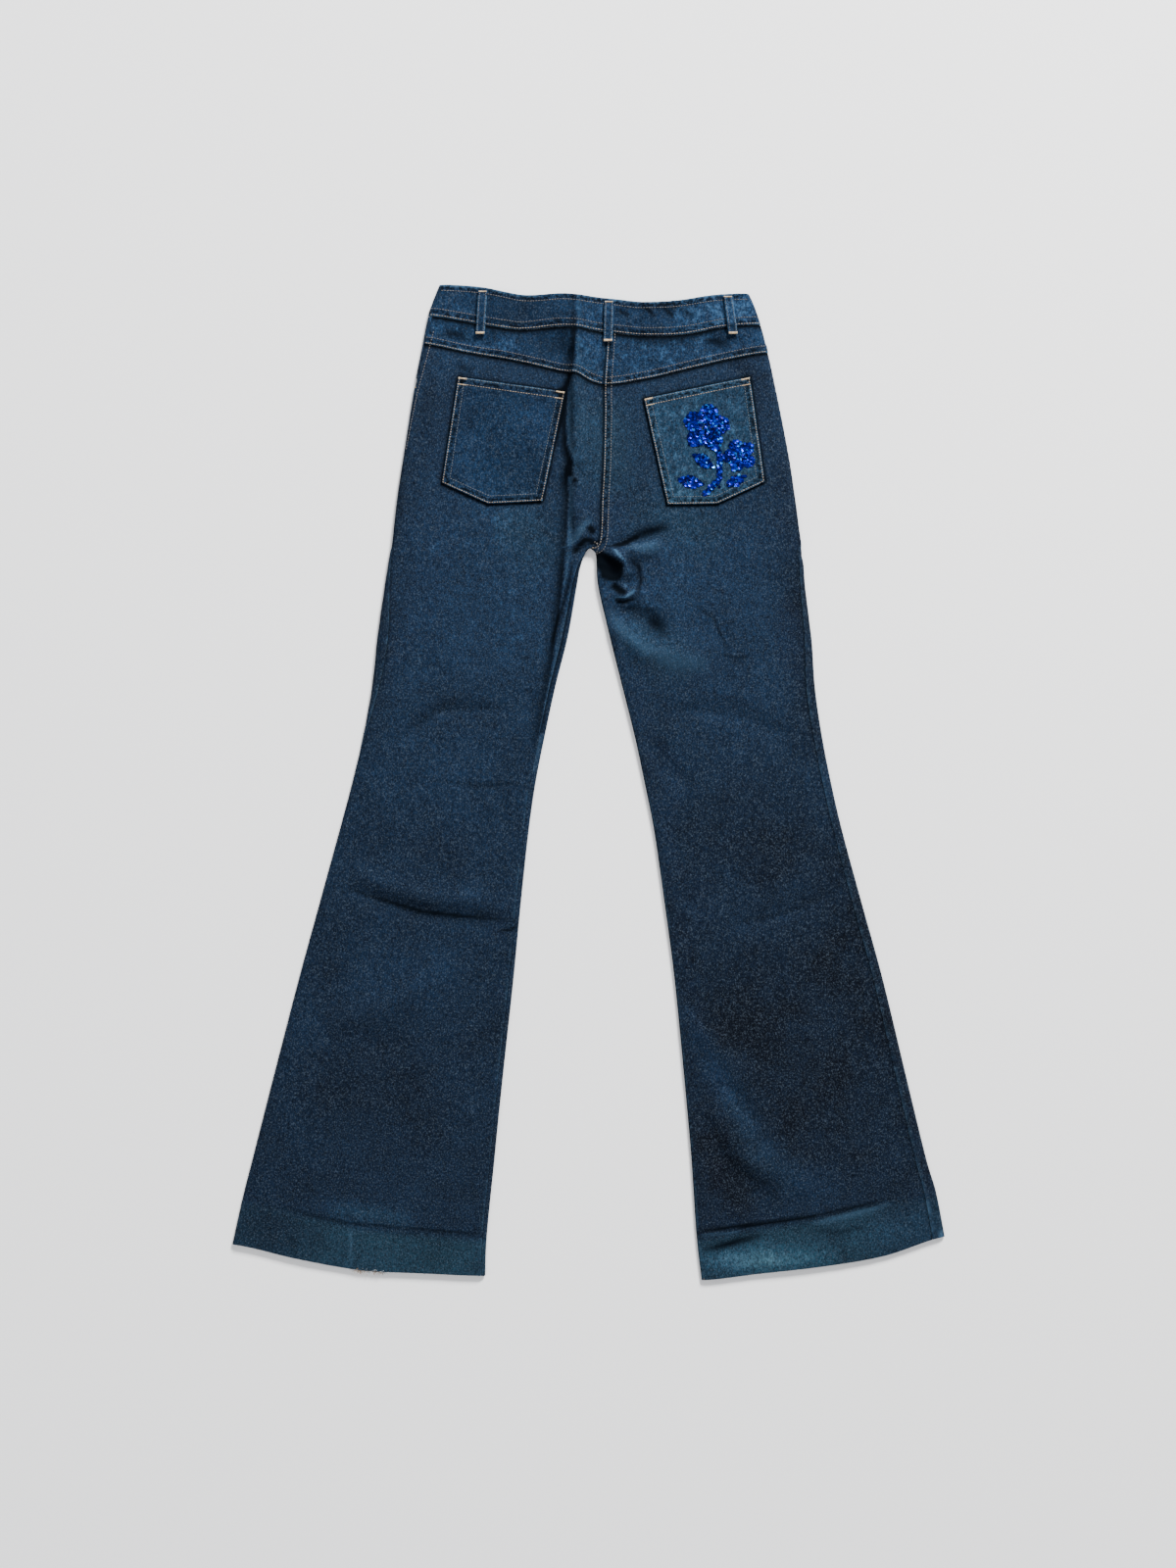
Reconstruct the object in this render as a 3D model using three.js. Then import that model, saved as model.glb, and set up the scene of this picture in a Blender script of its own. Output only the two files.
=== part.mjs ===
import * as THREE from 'three';

// Flared jeans laid flat, face down, with the back up. Millimetres, +Z up, waist towards +Y.
// The front panels lie on the surface at z = 0 and the back panels lie on them.
// Left and right are the wearer's: left is -X.

// The tables below are measured from a point near the middle. This brings the middle to the origin.
const CENTRE = { x: -0.45, y: 1.5 };

// Cloth
const CLOTH = 1.2; // one layer of denim
const BAND_CLOTH = 2.2; // the doubled waistband
const BAND_RISE = 1; // how far the band stands proud of the yoke
const POCKET_CLOTH = 1.4;
const LOOP_CLOTH = 1.8;
const TAPE_CLOTH = 1;
const SEAM_GAP = 0.3;
const LAP = 0.9; // extra height where one panel laps over the next
const LEAST_LOFT = 3.6; // lowest height of the back layer, so that it never meets the front

// Rolled side edges: how far in the cloth is still rounding over
const OUTER_ROLL = 9;
const INNER_ROLL = 7;
const UNDER_ROLL = 4;
const ARC_PER_ROLL = 1.35; // length along a rolled quarter for each mm of its roll
const EDGE_SHARE = 0.42; // height of the outermost line, as a share of the loft
const OUTER_SEAM_MARGIN = 5; // least length from a seam on the roll to where the flat run starts
const INNER_SEAM_MARGIN = 4;
const CLOSING = 2; // sections below the fork over which each leg becomes a closed tube

// Sections from the waist to the hem. dip: how much lower the front is cut at its centre.
// loft: height of the back layer. steps: rows of faces to the next section.
const SECTION_COLUMNS = ['dip', 'loft', 'steps'];
const SECTIONS = {
  band_top: [26, 6.4, 2],
  band_middle: [26, 6.4, 2],
  band_bottom: [26, 6.4, 2],
  yoke_seam: [24, 6.5, 3],
  pocket_top: [20, 6.6, 3],
  hip: [14, 6.8, 2],
  seat: [8, 7, 3],
  low_seat: [4, 7.2, 1],
  fork: [0, 7.4, 1],
  crotch: [0, 7.4, 1],
  below_crotch: [0, 7.2, 1],
  upper_thigh: [0, 7, 2],
  thigh_top: [0, 6.6, 4],
  thigh: [0, 6.2, 3],
  middle_thigh: [0, 6, 3],
  lower_thigh: [0, 6, 3],
  knee: [0, 5.8, 3],
  below_knee: [0, 5.6, 5],
  shin: [0, 5.6, 4],
  middle_calf: [0, 5.4, 4],
  calf: [0, 5.2, 3],
  ankle: [0, 5.2, 3],
  hem_crease: [0, 5, 2],
  hem: [0, 5, 1],
};

// Each half, one row for each section. outer: x of the side edge. inner: x of the centre back, or of
// the inseam edge below the crotch. front: the same on the front layer. y_0 to y_4: y of the section
// from the outer to the inner edge. seam and inseam: where the side seam and inseam lie, in mm from
// the edge along the cloth, plus on the back layer and minus underneath.
const HALF_COLUMNS = ['outer', 'inner', 'front', 'y_0', 'y_1', 'y_2', 'y_3', 'y_4', 'seam', 'inseam'];
const LEFT_HALF = {
  band_top: [-171, 22, -14, 568, 565, 556, 558, 552, 9, 0],
  band_middle: [-178, 22, -14, 550, 545, 536, 539, 533, 9, 0],
  band_bottom: [-184, 22, -14, 532, 524, 516, 520, 513, 9, 0],
  yoke_seam: [-190, 18, -13, 500, 490, 481, 469, 453, 6, 0],
  pocket_top: [-199, 18, -12, 454, 447, 440, 433, 421, 4, 0],
  hip: [-211, 17, -10, 378, 375, 373, 370, 365, 2, 0],
  seat: [-219, 15, -6, 326, 326, 326, 326, 326, 2, 0],
  low_seat: [-225, 12.5, -2, 275, 275, 275, 275, 275, 4, 0],
  fork: [-226, 3, 1, 267.5, 267.5, 267.5, 267.5, 267.5, 4, 0],
  crotch: [-227, -2, -2, 264.5, 264.5, 264.5, 264.5, 264.5, 5, 0],
  below_crotch: [-228, -5, -5, 258, 258, 258, 258, 258, 6, 3],
  upper_thigh: [-230, -9, -9, 247, 247, 247, 247, 247, 7, 6],
  thigh_top: [-234, -14, -14, 221, 221, 221, 221, 221, 10, 8],
  thigh: [-242, -24, -24, 165, 165, 165, 165, 165, 16, 9],
  middle_thigh: [-248, -38, -38, 109, 109, 109, 109, 109, 12, 9],
  lower_thigh: [-258, -50, -50, 53, 53, 53, 53, 53, 6, 9],
  knee: [-271, -61, -61, -3, -3, -3, -3, -3, 1, 9],
  below_knee: [-286, -69, -69, -59, -59, -59, -59, -59, -2, 8],
  shin: [-309, -78, -78, -143, -143, -143, -143, -143, -3, 8],
  middle_calf: [-332, -86, -86, -227, -227, -227, -227, -227, -3, 8],
  calf: [-361, -98, -98, -339, -339, -339, -339, -339, -3, 8],
  ankle: [-384, -107, -107, -429, -429, -429, -429, -429, -3, 8],
  hem_crease: [-396, -116, -116, -476, -491, -507, -514, -519, -3, 8],
  hem: [-408, -118, -118, -530, -546, -559, -563, -566, -3, 8],
};
const RIGHT_HALF = {
  band_top: [183, 22, -14, 558, 556, 550, 548, 552, -6, 0],
  band_middle: [190, 22, -14, 543, 540, 531, 529, 533, -6, 0],
  band_bottom: [197, 22, -14, 522, 519, 511, 509, 513, -6, 0],
  yoke_seam: [205, 18, -13, 490, 482, 471, 460, 453, -5, 0],
  pocket_top: [213, 18, -12, 454, 447, 440, 433, 421, -4, 0],
  hip: [228, 17, -10, 378, 375, 373, 370, 365, -2, 0],
  seat: [236, 15, -6, 326, 326, 326, 326, 326, 2, 0],
  low_seat: [243, 12.5, -2, 275, 275, 275, 275, 275, 5, 0],
  fork: [243, 3, 1, 267.5, 267.5, 267.5, 267.5, 267.5, 6, 0],
  crotch: [244, 6, 6, 264.5, 264.5, 264.5, 264.5, 264.5, 7, 0],
  below_crotch: [244, 8.5, 8.5, 258, 258, 258, 258, 258, 8, 1],
  upper_thigh: [246, 9, 9, 247, 247, 247, 247, 247, 9, 2],
  thigh_top: [248, 11, 11, 221, 221, 221, 221, 221, 10, 3],
  thigh: [255, 24, 24, 165, 165, 165, 165, 165, 12, 3],
  middle_thigh: [259, 38, 38, 109, 109, 109, 109, 109, 14, 3],
  lower_thigh: [267, 52, 52, 53, 53, 53, 53, 53, 14, 3],
  knee: [278, 64, 64, -3, -3, -3, -3, -3, 14, 3],
  below_knee: [291, 75, 75, -59, -59, -59, -59, -59, 14, 3],
  shin: [314, 87, 87, -143, -143, -143, -143, -143, 15, 3],
  middle_calf: [337, 98, 98, -227, -227, -227, -227, -227, 15, 3],
  calf: [364, 109, 109, -339, -339, -339, -339, -339, 16, 3],
  ankle: [386, 117, 117, -429, -429, -429, -429, -429, 17, 3],
  hem_crease: [398, 123, 123, -470, -478, -496, -507, -518, 18, 3],
  hem: [408, 129, 129, -521, -543, -555, -563, -571, 18, 3],
};

// The largest folds of the back layer, each along three points. height: plus for a ridge and minus
// for a trough. width: half its width.
const FOLD_COLUMNS = ['x_0', 'y_0', 'x_1', 'y_1', 'x_2', 'y_2', 'height', 'width'];
const FOLDS = {
  seat_tuck: [-9, 540, -13, 450, -11, 362, 5.5, 11],
  seat_tuck_low: [-10, 372, -13, 310, -6, 268, 5, 11],
  seat_tuck_drop: [-27, 530, -29, 440, -26, 300, -2, 7],
  yoke_hollow: [-66, 503, -46, 508, -30, 503, -1.8, 12],
  left_loop_hollow: [-167, 517, -135, 501, -104, 498, -1.8, 12],
  right_loop_hollow: [117, 498, 150, 501, 175, 511, -1.8, 12],
  inseam_hollow: [-34, 250, -38, 200, -52, 109, -2, 9],
  crotch_crease: [28, 270, 57, 279, 95, 288, -2.5, 9],
  crotch_crease_lip: [33, 254, 57, 262, 88, 268, 4, 9],
  crotch_lip: [24, 268, 36, 250, 44, 228, 5, 9],
  swirl_ring: [30, 222, 46, 205, 62, 222, 5, 9],
  swirl_well: [48, 238, 44, 228, 42, 220, -3, 7],
  right_thigh_hollow: [40, 199, 64, 190, 88, 176, -2.5, 10],
  right_thigh_ridge: [31, 183, 61, 151, 138, 139, 5, 14],
  right_knee_crease: [91, 81, 162, 84, 230, 52, -2.2, 12],
  right_inner_hollow: [62, 56, 88, 18, 117, -11, -2, 12],
  left_knee_crease: [-235, 41, -169, 84, -96, 84, -2, 13],
  storage_crease_left: [-281, -122, -191, -149, -88, -161, -2.4, 9],
  storage_ridge_left: [-281, -104, -191, -130, -88, -142, 2.4, 10],
  left_shin_ridge: [-303, -277, -225, -258, -163, -210, 3.2, 17],
  left_shin_hollow: [-270, -305, -225, -303, -174, -288, -1.6, 14],
  storage_crease_right: [162, -164, 223, -150, 279, -127, -2, 12],
  right_calf_ridge: [112, -274, 143, -301, 187, -348, 3.6, 14],
  right_calf_crease: [150, -350, 173, -370, 194, -398, -2, 12],
  right_hem_ridge: [140, -365, 174, -429, 263, -467, 3.6, 18],
  right_hem_hollow: [122, -345, 148, -430, 221, -498, -2, 14],
};

// Where the closed fly below makes the back layer ride higher
const FLY_PAD = { x: -4, y: 450, halfWidth: 18, halfLength: 90, fade: 26, height: 2.4 };

// Back patch pockets: top outer, top inner, bottom inner, point and bottom outer corners
const POCKET_CORNERS = {
  left: [[-149, 462], [-27, 445], [-53, 320], [-115, 317], [-168, 341]],
  right: [[184, 462], [63, 437], [90, 316], [147, 317], [201, 342]],
};
const POCKET_COLUMNS = 8;
const POCKET_ROWS = 7;
const POCKET_HEM = 13; // the folded top edge
const POCKET_HEM_RISE = 0.8;

// Belt loops: x, y of the top and of the bottom end
const LOOP_WIDTH = 10.5;
const LOOP_ARCH = 1.4;
const LOOP_ROWS = 8;
const BACK_LOOPS = {
  back_left: [-121, 561, -124, 510],
  back_centre: [23, 549, 22, 501],
  back_right: [159, 555, 165, 510],
};
const FRONT_LOOPS = { front_left: -98, front_right: 74 };
const FRONT_LOOP_LENGTH = 32;
const FRONT_LOOP_CLOTH = 1.6;

// Front pocket openings: a scoop from the band to the side seam
const SCOOP_WIDTH = 100;
const FACING_UNDERLAP = 22;
const SCOOP_EDGE = 12; // width of the stitched edge of the opening
const SCOOP_END_GAP = 0.9; // extra gap at the side seam where the scoop ends

// Fly, zip and waist button
const BAND_OVERLAP = 15; // how far the left end of the band passes the centre front
const BAND_UNDERLAP = 22; // how far the right end passes it behind the left one
const UNDERLAP_START = 3; // beyond the left end, where the right one starts to sink
const UNDERLAP_RAMP = 34;
const BUTTON_RADIUS = 8.5;
const BUTTON_HEIGHT = 2.2;
const BUTTON_SIDES = 24;
const BUTTON_COLUMNS = ['inset', 'z']; // of its half outline, from the axis underneath to the axis on top
const BUTTON_OUTLINE = [
  [BUTTON_RADIUS, 0],
  [0.8, 0],
  [0, 0.7],
  [0, 1.7],
  [1.2, BUTTON_HEIGHT],
  [BUTTON_RADIUS, BUTTON_HEIGHT],
];
const ZIP_WIDTH = 26;
const ZIP_TOP = 484;
const ZIP_BOTTOM = 352;
const SLIDER_Y = 470;
const SLIDER = { width: 8, length: 13, height: 1.4 };
const SLIDER_ROWS = [14, 6, -6, -14]; // rows of the tape and shield, from the slider's middle
const SHIELD_WIDTH = 44;
const SHIELD_MARGIN = 3; // how far it passes the tape's left edge
const SHIELD_BOTTOM = 346;
const SHIELD_GAP = SEAM_GAP + 0.15;
const FLY_ROWS = 8;

// Pads that lift the front of the band: how far their flat tops pass what lies under it
const BUTTON_PAD = { margin: 1, fade: 10 };
const LOOP_PAD = { margin: 1.5, halfLength: 30, fade: 12 };
const SLIDER_PAD = { margin: 2, fade: 10 };

// The band's columns on its front: how far outwards they lie from the centre front and from a loop
const BUTTON_STOPS = { left: [-8, 0, 10, 22, 36], right: [-10, 0, 10, 18, 30, 42, 54] };
const LOOP_STOPS = [-19, -7, 7, 19];
const FILL_STEP = 26;

// Rows of the band, as places between its sections
const BAND_ROWS = [0, 0.6, 1, 1.4];

const COLOURS = {
  denim_upper: new THREE.Color(0x2b4d6d),
  denim_leg: new THREE.Color(0x24384f),
  tape: new THREE.Color(0x23262c),
  brass: new THREE.Color(0x8d6b3c),
};
const denimUpper = new THREE.MeshStandardMaterial({ color: COLOURS.denim_upper, roughness: 0.92, metalness: 0 });
const denimLeg = new THREE.MeshStandardMaterial({ color: COLOURS.denim_leg, roughness: 0.92, metalness: 0 });
const zipTape = new THREE.MeshStandardMaterial({ color: COLOURS.tape, roughness: 0.85, metalness: 0 });
const brass = new THREE.MeshStandardMaterial({ color: COLOURS.brass, roughness: 0.4, metalness: 0.9 });

const lerp = THREE.MathUtils.lerp;
const clamp = THREE.MathUtils.clamp;
const smooth = (t) => THREE.MathUtils.smoothstep(t, 0, 1);

// Named columns of a table, as one list of numbers each.
function columnsOf(names, table) {
  const rows = Object.values(table);
  return Object.fromEntries(names.map((name, i) => [name, rows.map((row) => row[i])]));
}

const SECTION_NAMES = Object.keys(SECTIONS);
const section = columnsOf(SECTION_COLUMNS, SECTIONS);
const halves = {
  left: columnsOf(HALF_COLUMNS, LEFT_HALF),
  right: columnsOf(HALF_COLUMNS, RIGHT_HALF),
};
const station = (name) => SECTION_NAMES.indexOf(name);
const folds = Object.values(FOLDS).map((row) =>
  Object.fromEntries(FOLD_COLUMNS.map((name, i) => [name, row[i]])),
);

// Smooth curve through evenly numbered values, at place s.
function through(values, s) {
  const last = values.length - 1;
  const i = Math.min(Math.floor(s), last - 1);
  const t = s - i;
  const [a, b, c, d] = [values[Math.max(i - 1, 0)], values[i], values[i + 1], values[Math.min(i + 2, last)]];
  const slopeB = (c - a) / 2;
  const slopeC = (d - b) / 2;
  const bend = 3 * (c - b) - 2 * slopeB - slopeC;
  const twist = 2 * (b - c) + slopeB + slopeC;
  return b + t * (slopeB + t * (bend + t * twist));
}

// One section of one half at place s, with its lengths.
const sectionsMade = new Map();
function sectionAt(side, s) {
  const key = `${side} ${s}`;
  if (sectionsMade.has(key)) return sectionsMade.get(key);
  const at = { side, s, inward: side === 'left' ? 1 : -1 };
  for (const name of HALF_COLUMNS) at[name] = through(halves[side][name], s);
  at.ys = [at.y_0, at.y_1, at.y_2, at.y_3, at.y_4];
  at.dip = through(section.dip, s);
  at.loft = through(section.loft, s);
  at.edge = EDGE_SHARE * at.loft;
  at.closed = smooth((s - station('fork')) / CLOSING); // 0 above the crotch, 1 round each leg
  at.backWidth = Math.abs(at.inner - at.outer);
  at.frontWidth = Math.abs(at.front - at.outer);
  sectionsMade.set(key, at);
  return at;
}

// Distance from a fold's line and how far along it, 0 to 1.
function nearFold(fold, x, y) {
  const points = [[fold.x_0, fold.y_0], [fold.x_1, fold.y_1], [fold.x_2, fold.y_2]];
  let best = { distance: Infinity, along: 0 };
  for (let i = 0; i < 2; i++) {
    const [ax, ay] = points[i];
    const [bx, by] = points[i + 1];
    const length2 = (bx - ax) ** 2 + (by - ay) ** 2;
    const t = clamp(((x - ax) * (bx - ax) + (y - ay) * (by - ay)) / length2, 0, 1);
    const distance = Math.hypot(x - lerp(ax, bx, t), y - lerp(ay, by, t));
    if (distance < best.distance) best = { distance, along: (i + t) / 2 };
  }
  return best;
}

function foldHeight(x, y) {
  let height = 0;
  for (const fold of folds) {
    const { distance, along } = nearFold(fold, x, y);
    if (distance > 3 * fold.width) continue;
    const taper = Math.sqrt(Math.max(Math.sin(Math.PI * along), 0));
    height += fold.height * taper * Math.exp(-((distance / fold.width) ** 2));
  }
  return height;
}

// 1 on a pad and 0 beyond its fade.
function padShare(pad, x, y) {
  const overX = Math.max(Math.abs(x - pad.x) - pad.halfWidth, 0);
  const overY = Math.max(Math.abs(y - pad.y) - pad.halfLength, 0);
  return 1 - smooth(clamp(Math.hypot(overX, overY) / pad.fade, 0, 1));
}

// A point of the back or front layer's outline: p is the distance in from the outer edge.
function backOutline(at, p) {
  return [at.outer + at.inward * p, through(at.ys, 4 * clamp(p / at.backWidth, 0, 1))];
}

function frontOutline(at, p) {
  const share = clamp(p / at.frontWidth, 0, 1);
  return [at.outer + at.inward * p, through(at.ys, 4 * share) - at.dip * smooth(share)];
}

function bandMiddle(side, x) {
  const at = sectionAt(side, station('band_middle'));
  return frontOutline(at, Math.abs(x - at.outer))[1];
}

// What lies under the front of the band lifts it: the waist button and the front belt loops.
const centreFront = LEFT_HALF.band_middle[HALF_COLUMNS.indexOf('front')];
const liftPads = [
  {
    x: centreFront,
    y: bandMiddle('left', centreFront),
    halfWidth: BUTTON_RADIUS + BUTTON_PAD.margin,
    halfLength: BUTTON_RADIUS + BUTTON_PAD.margin,
    fade: BUTTON_PAD.fade,
    height: BUTTON_HEIGHT + SEAM_GAP,
  },
  ...Object.entries(FRONT_LOOPS).map(([name, x]) => ({
    x,
    y: bandMiddle(name.slice('front_'.length), x),
    halfWidth: LOOP_WIDTH / 2 + LOOP_PAD.margin,
    halfLength: LOOP_PAD.halfLength,
    fade: LOOP_PAD.fade,
    height: FRONT_LOOP_CLOTH + SEAM_GAP,
  })),
];

function lift(x, y) {
  return liftPads.reduce((height, pad) => Math.max(height, pad.height * padShare(pad, x, y)), 0);
}

// Height of the back layer's outer face over a point of a section.
function backHeight(at, x, y) {
  const height = at.loft + FLY_PAD.height * padShare(FLY_PAD, x, y) + foldHeight(x, y);
  return Math.max(height, LEAST_LOFT);
}

// A rolled edge: arc is measured along the cloth from the outermost line. It gives the distance in
// from the edge, and how much of the way to the outermost line's height is left.
function rolled(arc, roll) {
  const angle = Math.min(arc / (ARC_PER_ROLL * roll), 1) * (Math.PI / 2);
  const beyond = Math.max(arc - ARC_PER_ROLL * roll, 0);
  return { inFromEdge: roll * (1 - Math.cos(angle)) + beyond, turn: 1 - Math.sin(angle) };
}

// How a piece lies on the form: risen off the back or the front layer. The band's front is lifted.
const FLUSH = { back: 0, front: () => 0, lifted: false };
const IN_BAND = {
  back: BAND_RISE,
  front: (side, x) => (side === 'right' ? (BAND_CLOTH + SEAM_GAP) * behindLeftEnd(x) : 0),
  lifted: true,
};
const BEHIND_SCOOP = { back: 0, front: () => CLOTH + SEAM_GAP, lifted: false };
const underlapStart = centreFront + BAND_OVERLAP + UNDERLAP_START;
const behindLeftEnd = (x) => 1 - smooth(clamp((x - underlapStart) / UNDERLAP_RAMP, 0, 1));

// A point of the form. place: the edge it is measured from, and the arc along the cloth from there,
// plus on the back layer and minus on the front layer.
function surfacePoint(side, s, { edge, arc }, lie) {
  const at = sectionAt(side, s);
  const onBack = arc >= 0;
  const roll = onBack ? { outer: OUTER_ROLL, inner: INNER_ROLL }[edge] : UNDER_ROLL;
  const { inFromEdge, turn } = rolled(Math.abs(arc), roll);
  const width = onBack ? at.backWidth : at.frontWidth;
  const p = edge === 'outer' ? inFromEdge : width - inFromEdge;
  const [x, y] = onBack ? backOutline(at, p) : frontOutline(at, p);
  const under = onBack || lie.lifted ? lift(x, y) : 0;
  const flat = under + (onBack ? backHeight(at, x, y) + lie.back : lie.front(side, x));
  const turned = edge === 'outer' ? turn : turn * at.closed;
  return new THREE.Vector3(x, y, lerp(flat, at.edge + under, turned));
}

const PLACE_STEP = 0.02;
const ARC_STEP = 0.4;

// The normal there, out of the cloth. An open edge is measured on its own layer alone.
function surfaceNormal(side, s, place, lie) {
  const last = SECTION_NAMES.length - 1;
  const open = place.edge === 'inner' && sectionAt(side, s).closed < 1;
  const oneSided = open && Math.abs(place.arc) < ARC_STEP;
  const back = place.arc >= 0;
  const arcBefore = oneSided && back ? place.arc : place.arc - ARC_STEP;
  const arcAfter = oneSided && !back ? place.arc : place.arc + ARC_STEP;
  const along = surfacePoint(side, Math.min(s + PLACE_STEP, last), place, lie).sub(
    surfacePoint(side, Math.max(s - PLACE_STEP, 0), place, lie),
  );
  const across = surfacePoint(side, s, { ...place, arc: arcAfter }, lie).sub(
    surfacePoint(side, s, { ...place, arc: arcBefore }, lie),
  );
  const turn = (side === 'left') === (place.edge === 'outer') ? 1 : -1;
  return along.cross(across).normalize().multiplyScalar(turn);
}

const onForm = (side, s, place, lie = FLUSH) => ({
  point: surfacePoint(side, s, place, lie),
  normal: surfaceNormal(side, s, place, lie),
});

// Places on a section
const fromOuter = (arc) => ({ edge: 'outer', arc });
const fromInner = (arc) => ({ edge: 'inner', arc });
const backPlace = (p) => fromOuter(p + (ARC_PER_ROLL - 1) * OUTER_ROLL);
const frontPlace = (p) => fromOuter(-(p + (ARC_PER_ROLL - 1) * UNDER_ROLL));

// Ends of the rolled stretches, from which the flat run between them starts.
const outerEnd = (at) => Math.max(ARC_PER_ROLL * OUTER_ROLL, at.seam + OUTER_SEAM_MARGIN);
const innerEnd = (at) => Math.max(ARC_PER_ROLL * INNER_ROLL, at.inseam + INNER_SEAM_MARGIN);
const UNDER_END = ARC_PER_ROLL * UNDER_ROLL;

// A closed wall from the grid of its outer face. cloth: thickness inwards. relief: extra outwards.
function wall(grid, cloth, relief = () => 0) {
  const moved = (distance) =>
    grid.map((row, i) =>
      row.map(({ point, normal }, j) => point.clone().addScaledVector(normal, distance(i, j))),
    );
  return closed(moved(relief), moved(() => -cloth));
}

// The closed solid between two grids of points.
function closed(outside, inside) {
  const rows = outside.length;
  const columns = outside[0].length;
  const points = [...outside.flat(), ...inside.flat()];
  const far = rows * columns;
  const at = (i, j) => i * columns + j;
  const triangles = [];
  const quad = (a, b, c, d) => triangles.push([a, b, c], [a, c, d]);
  for (let i = 0; i < rows - 1; i++) {
    for (let j = 0; j < columns - 1; j++) {
      const [a, b, c, d] = [at(i, j), at(i, j + 1), at(i + 1, j + 1), at(i + 1, j)];
      quad(a, b, c, d);
      quad(far + d, far + c, far + b, far + a);
    }
  }
  const border = [];
  for (let j = 0; j < columns - 1; j++) border.push(at(0, j));
  for (let i = 0; i < rows - 1; i++) border.push(at(i, columns - 1));
  for (let j = columns - 1; j > 0; j--) border.push(at(rows - 1, j));
  for (let i = rows - 1; i > 0; i--) border.push(at(i, 0));
  border.forEach((a, k) => {
    const b = border[(k + 1) % border.length];
    quad(b, a, far + a, far + b);
  });
  return solid(points, triangles);
}

// Geometry with its faces turned outwards.
function solid(points, triangles) {
  const volume = triangles.reduce((sum, [a, b, c]) => {
    const cross = points[b].clone().cross(points[c]);
    return sum + points[a].dot(cross);
  }, 0);
  const outward = volume > 0 ? triangles : triangles.map(([a, b, c]) => [a, c, b]);
  const geometry = new THREE.BufferGeometry();
  geometry.setAttribute('position', new THREE.Float32BufferAttribute(points.flatMap((p) => p.toArray()), 3));
  geometry.setIndex(outward.flat());
  geometry.computeVertexNormals();
  return geometry;
}

// A flat piece that lies on others: a grid of [x, y], its underside's height and its thickness.
function slab(grid, underside, thickness) {
  const under = grid.map((row) => row.map(([x, y]) => new THREE.Vector3(x, y, underside(x, y))));
  const over = under.map((row, i) =>
    row.map((point, j) => point.clone().setZ(point.z + thickness(i, j))),
  );
  return closed(over, under);
}

const group = new THREE.Group();
group.name = 'flared_jeans';
group.position.set(CENTRE.x, CENTRE.y, 0);

function add(name, geometry, material) {
  const mesh = new THREE.Mesh(geometry, material);
  mesh.name = name;
  group.add(mesh);
  return mesh;
}

// Places s of the rows of faces from one section to another, with a gap left at the ends.
const SEAM_STEP = 0.005; // half a seam gap, as a share of the distance between two sections
const FRONT_STEP = 0.035; // the fronts' tops stay a little further from the band
const FACING_END = station('pocket_top') - 0.12;
const YOKE_LAP_START = station('yoke_seam') - 0.25;
function rowPlaces(from, to, startGap = SEAM_STEP, endGap = SEAM_STEP) {
  const places = [];
  for (let k = station(from); k < station(to); k++) {
    for (let n = 0; n < section.steps[k]; n++) places.push(k + n / section.steps[k]);
    if (Math.floor(FACING_END) === k) places.push(FACING_END);
  }
  places.push(station(to));
  places[0] += startGap;
  places[places.length - 1] -= endGap;
  return places;
}

// Columns of a back panel, as shares of its outer roll, its flat run and its inner roll
const HALF_GAP = SEAM_GAP / 2 + 0.13; // the faces of two panels bend a little differently
const OUTER_SHARES = [0, 0.5];
const BACK_SHARES = [0, 0.14, 0.28, 0.42, 0.56, 0.7, 0.79, 0.86, 0.93, 1];
const INNER_SHARES = [0.62, 0.3, 0];

// Places of a back panel's columns: from the side seam to the centre seam or inseam.
function backPlaces(at) {
  const flatStart = OUTER_ROLL + outerEnd(at) - ARC_PER_ROLL * OUTER_ROLL;
  const flatEnd = at.backWidth - INNER_ROLL - (innerEnd(at) - ARC_PER_ROLL * INNER_ROLL);
  return [
    ...OUTER_SHARES.map((t) => fromOuter(lerp(at.seam + HALF_GAP, outerEnd(at), t))),
    ...BACK_SHARES.map((share) => backPlace(lerp(flatStart, flatEnd, share))),
    ...INNER_SHARES.map((t) => fromInner(lerp(at.inseam + HALF_GAP, innerEnd(at), t))),
  ];
}

// Distance of the scoop's edge in from the side, at a section above the one where it ends.
function scoopEdge(s) {
  const start = station('band_bottom');
  const share = (s - start) / (station('pocket_top') - start);
  return share < 1 ? SCOOP_WIDTH * Math.sqrt(1 - share ** 2) : 0;
}

// Places of a front panel's columns: from the side seam, or the pocket opening above it, to the
// centre front or inseam.
function frontPlaces(at) {
  const scoop = scoopEdge(at.s);
  const belowScoop = clamp(1 - (at.s - station('pocket_top')), 0, 1);
  const start = scoop > 0 ? -(UNDER_END + scoop) : at.seam - HALF_GAP - SCOOP_END_GAP * belowScoop ** 2;
  const flat = scoop > 0 ? -(UNDER_END + scoop + SCOOP_EDGE) : -UNDER_END;
  const flatStart = -flat - UNDER_END + UNDER_ROLL;
  const end = at.inseam - HALF_GAP;
  return [
    ...[0, 0.33, 0.67].map((t) => fromOuter(lerp(start, flat, t))),
    ...[0, 0.5, 1].map((share) => frontPlace(lerp(flatStart, at.frontWidth - UNDER_ROLL, share))),
    ...[0.6, 0.3, 0].map((t) => fromInner(lerp(end, -UNDER_END, t))),
  ];
}

// Places of a front pocket facing's columns: from the side seam to behind the front panel.
function facingPlaces(at) {
  const reach = UNDER_END + scoopEdge(at.s) + FACING_UNDERLAP;
  const roundEdge = [0, 0.35, 0.7].map((t) => lerp(at.seam - HALF_GAP, -UNDER_END, t));
  const flat = [0, 0.3, 0.65, 1].map((t) => -lerp(UNDER_END, reach, t));
  return [...roundEdge, ...flat].map(fromOuter);
}

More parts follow.
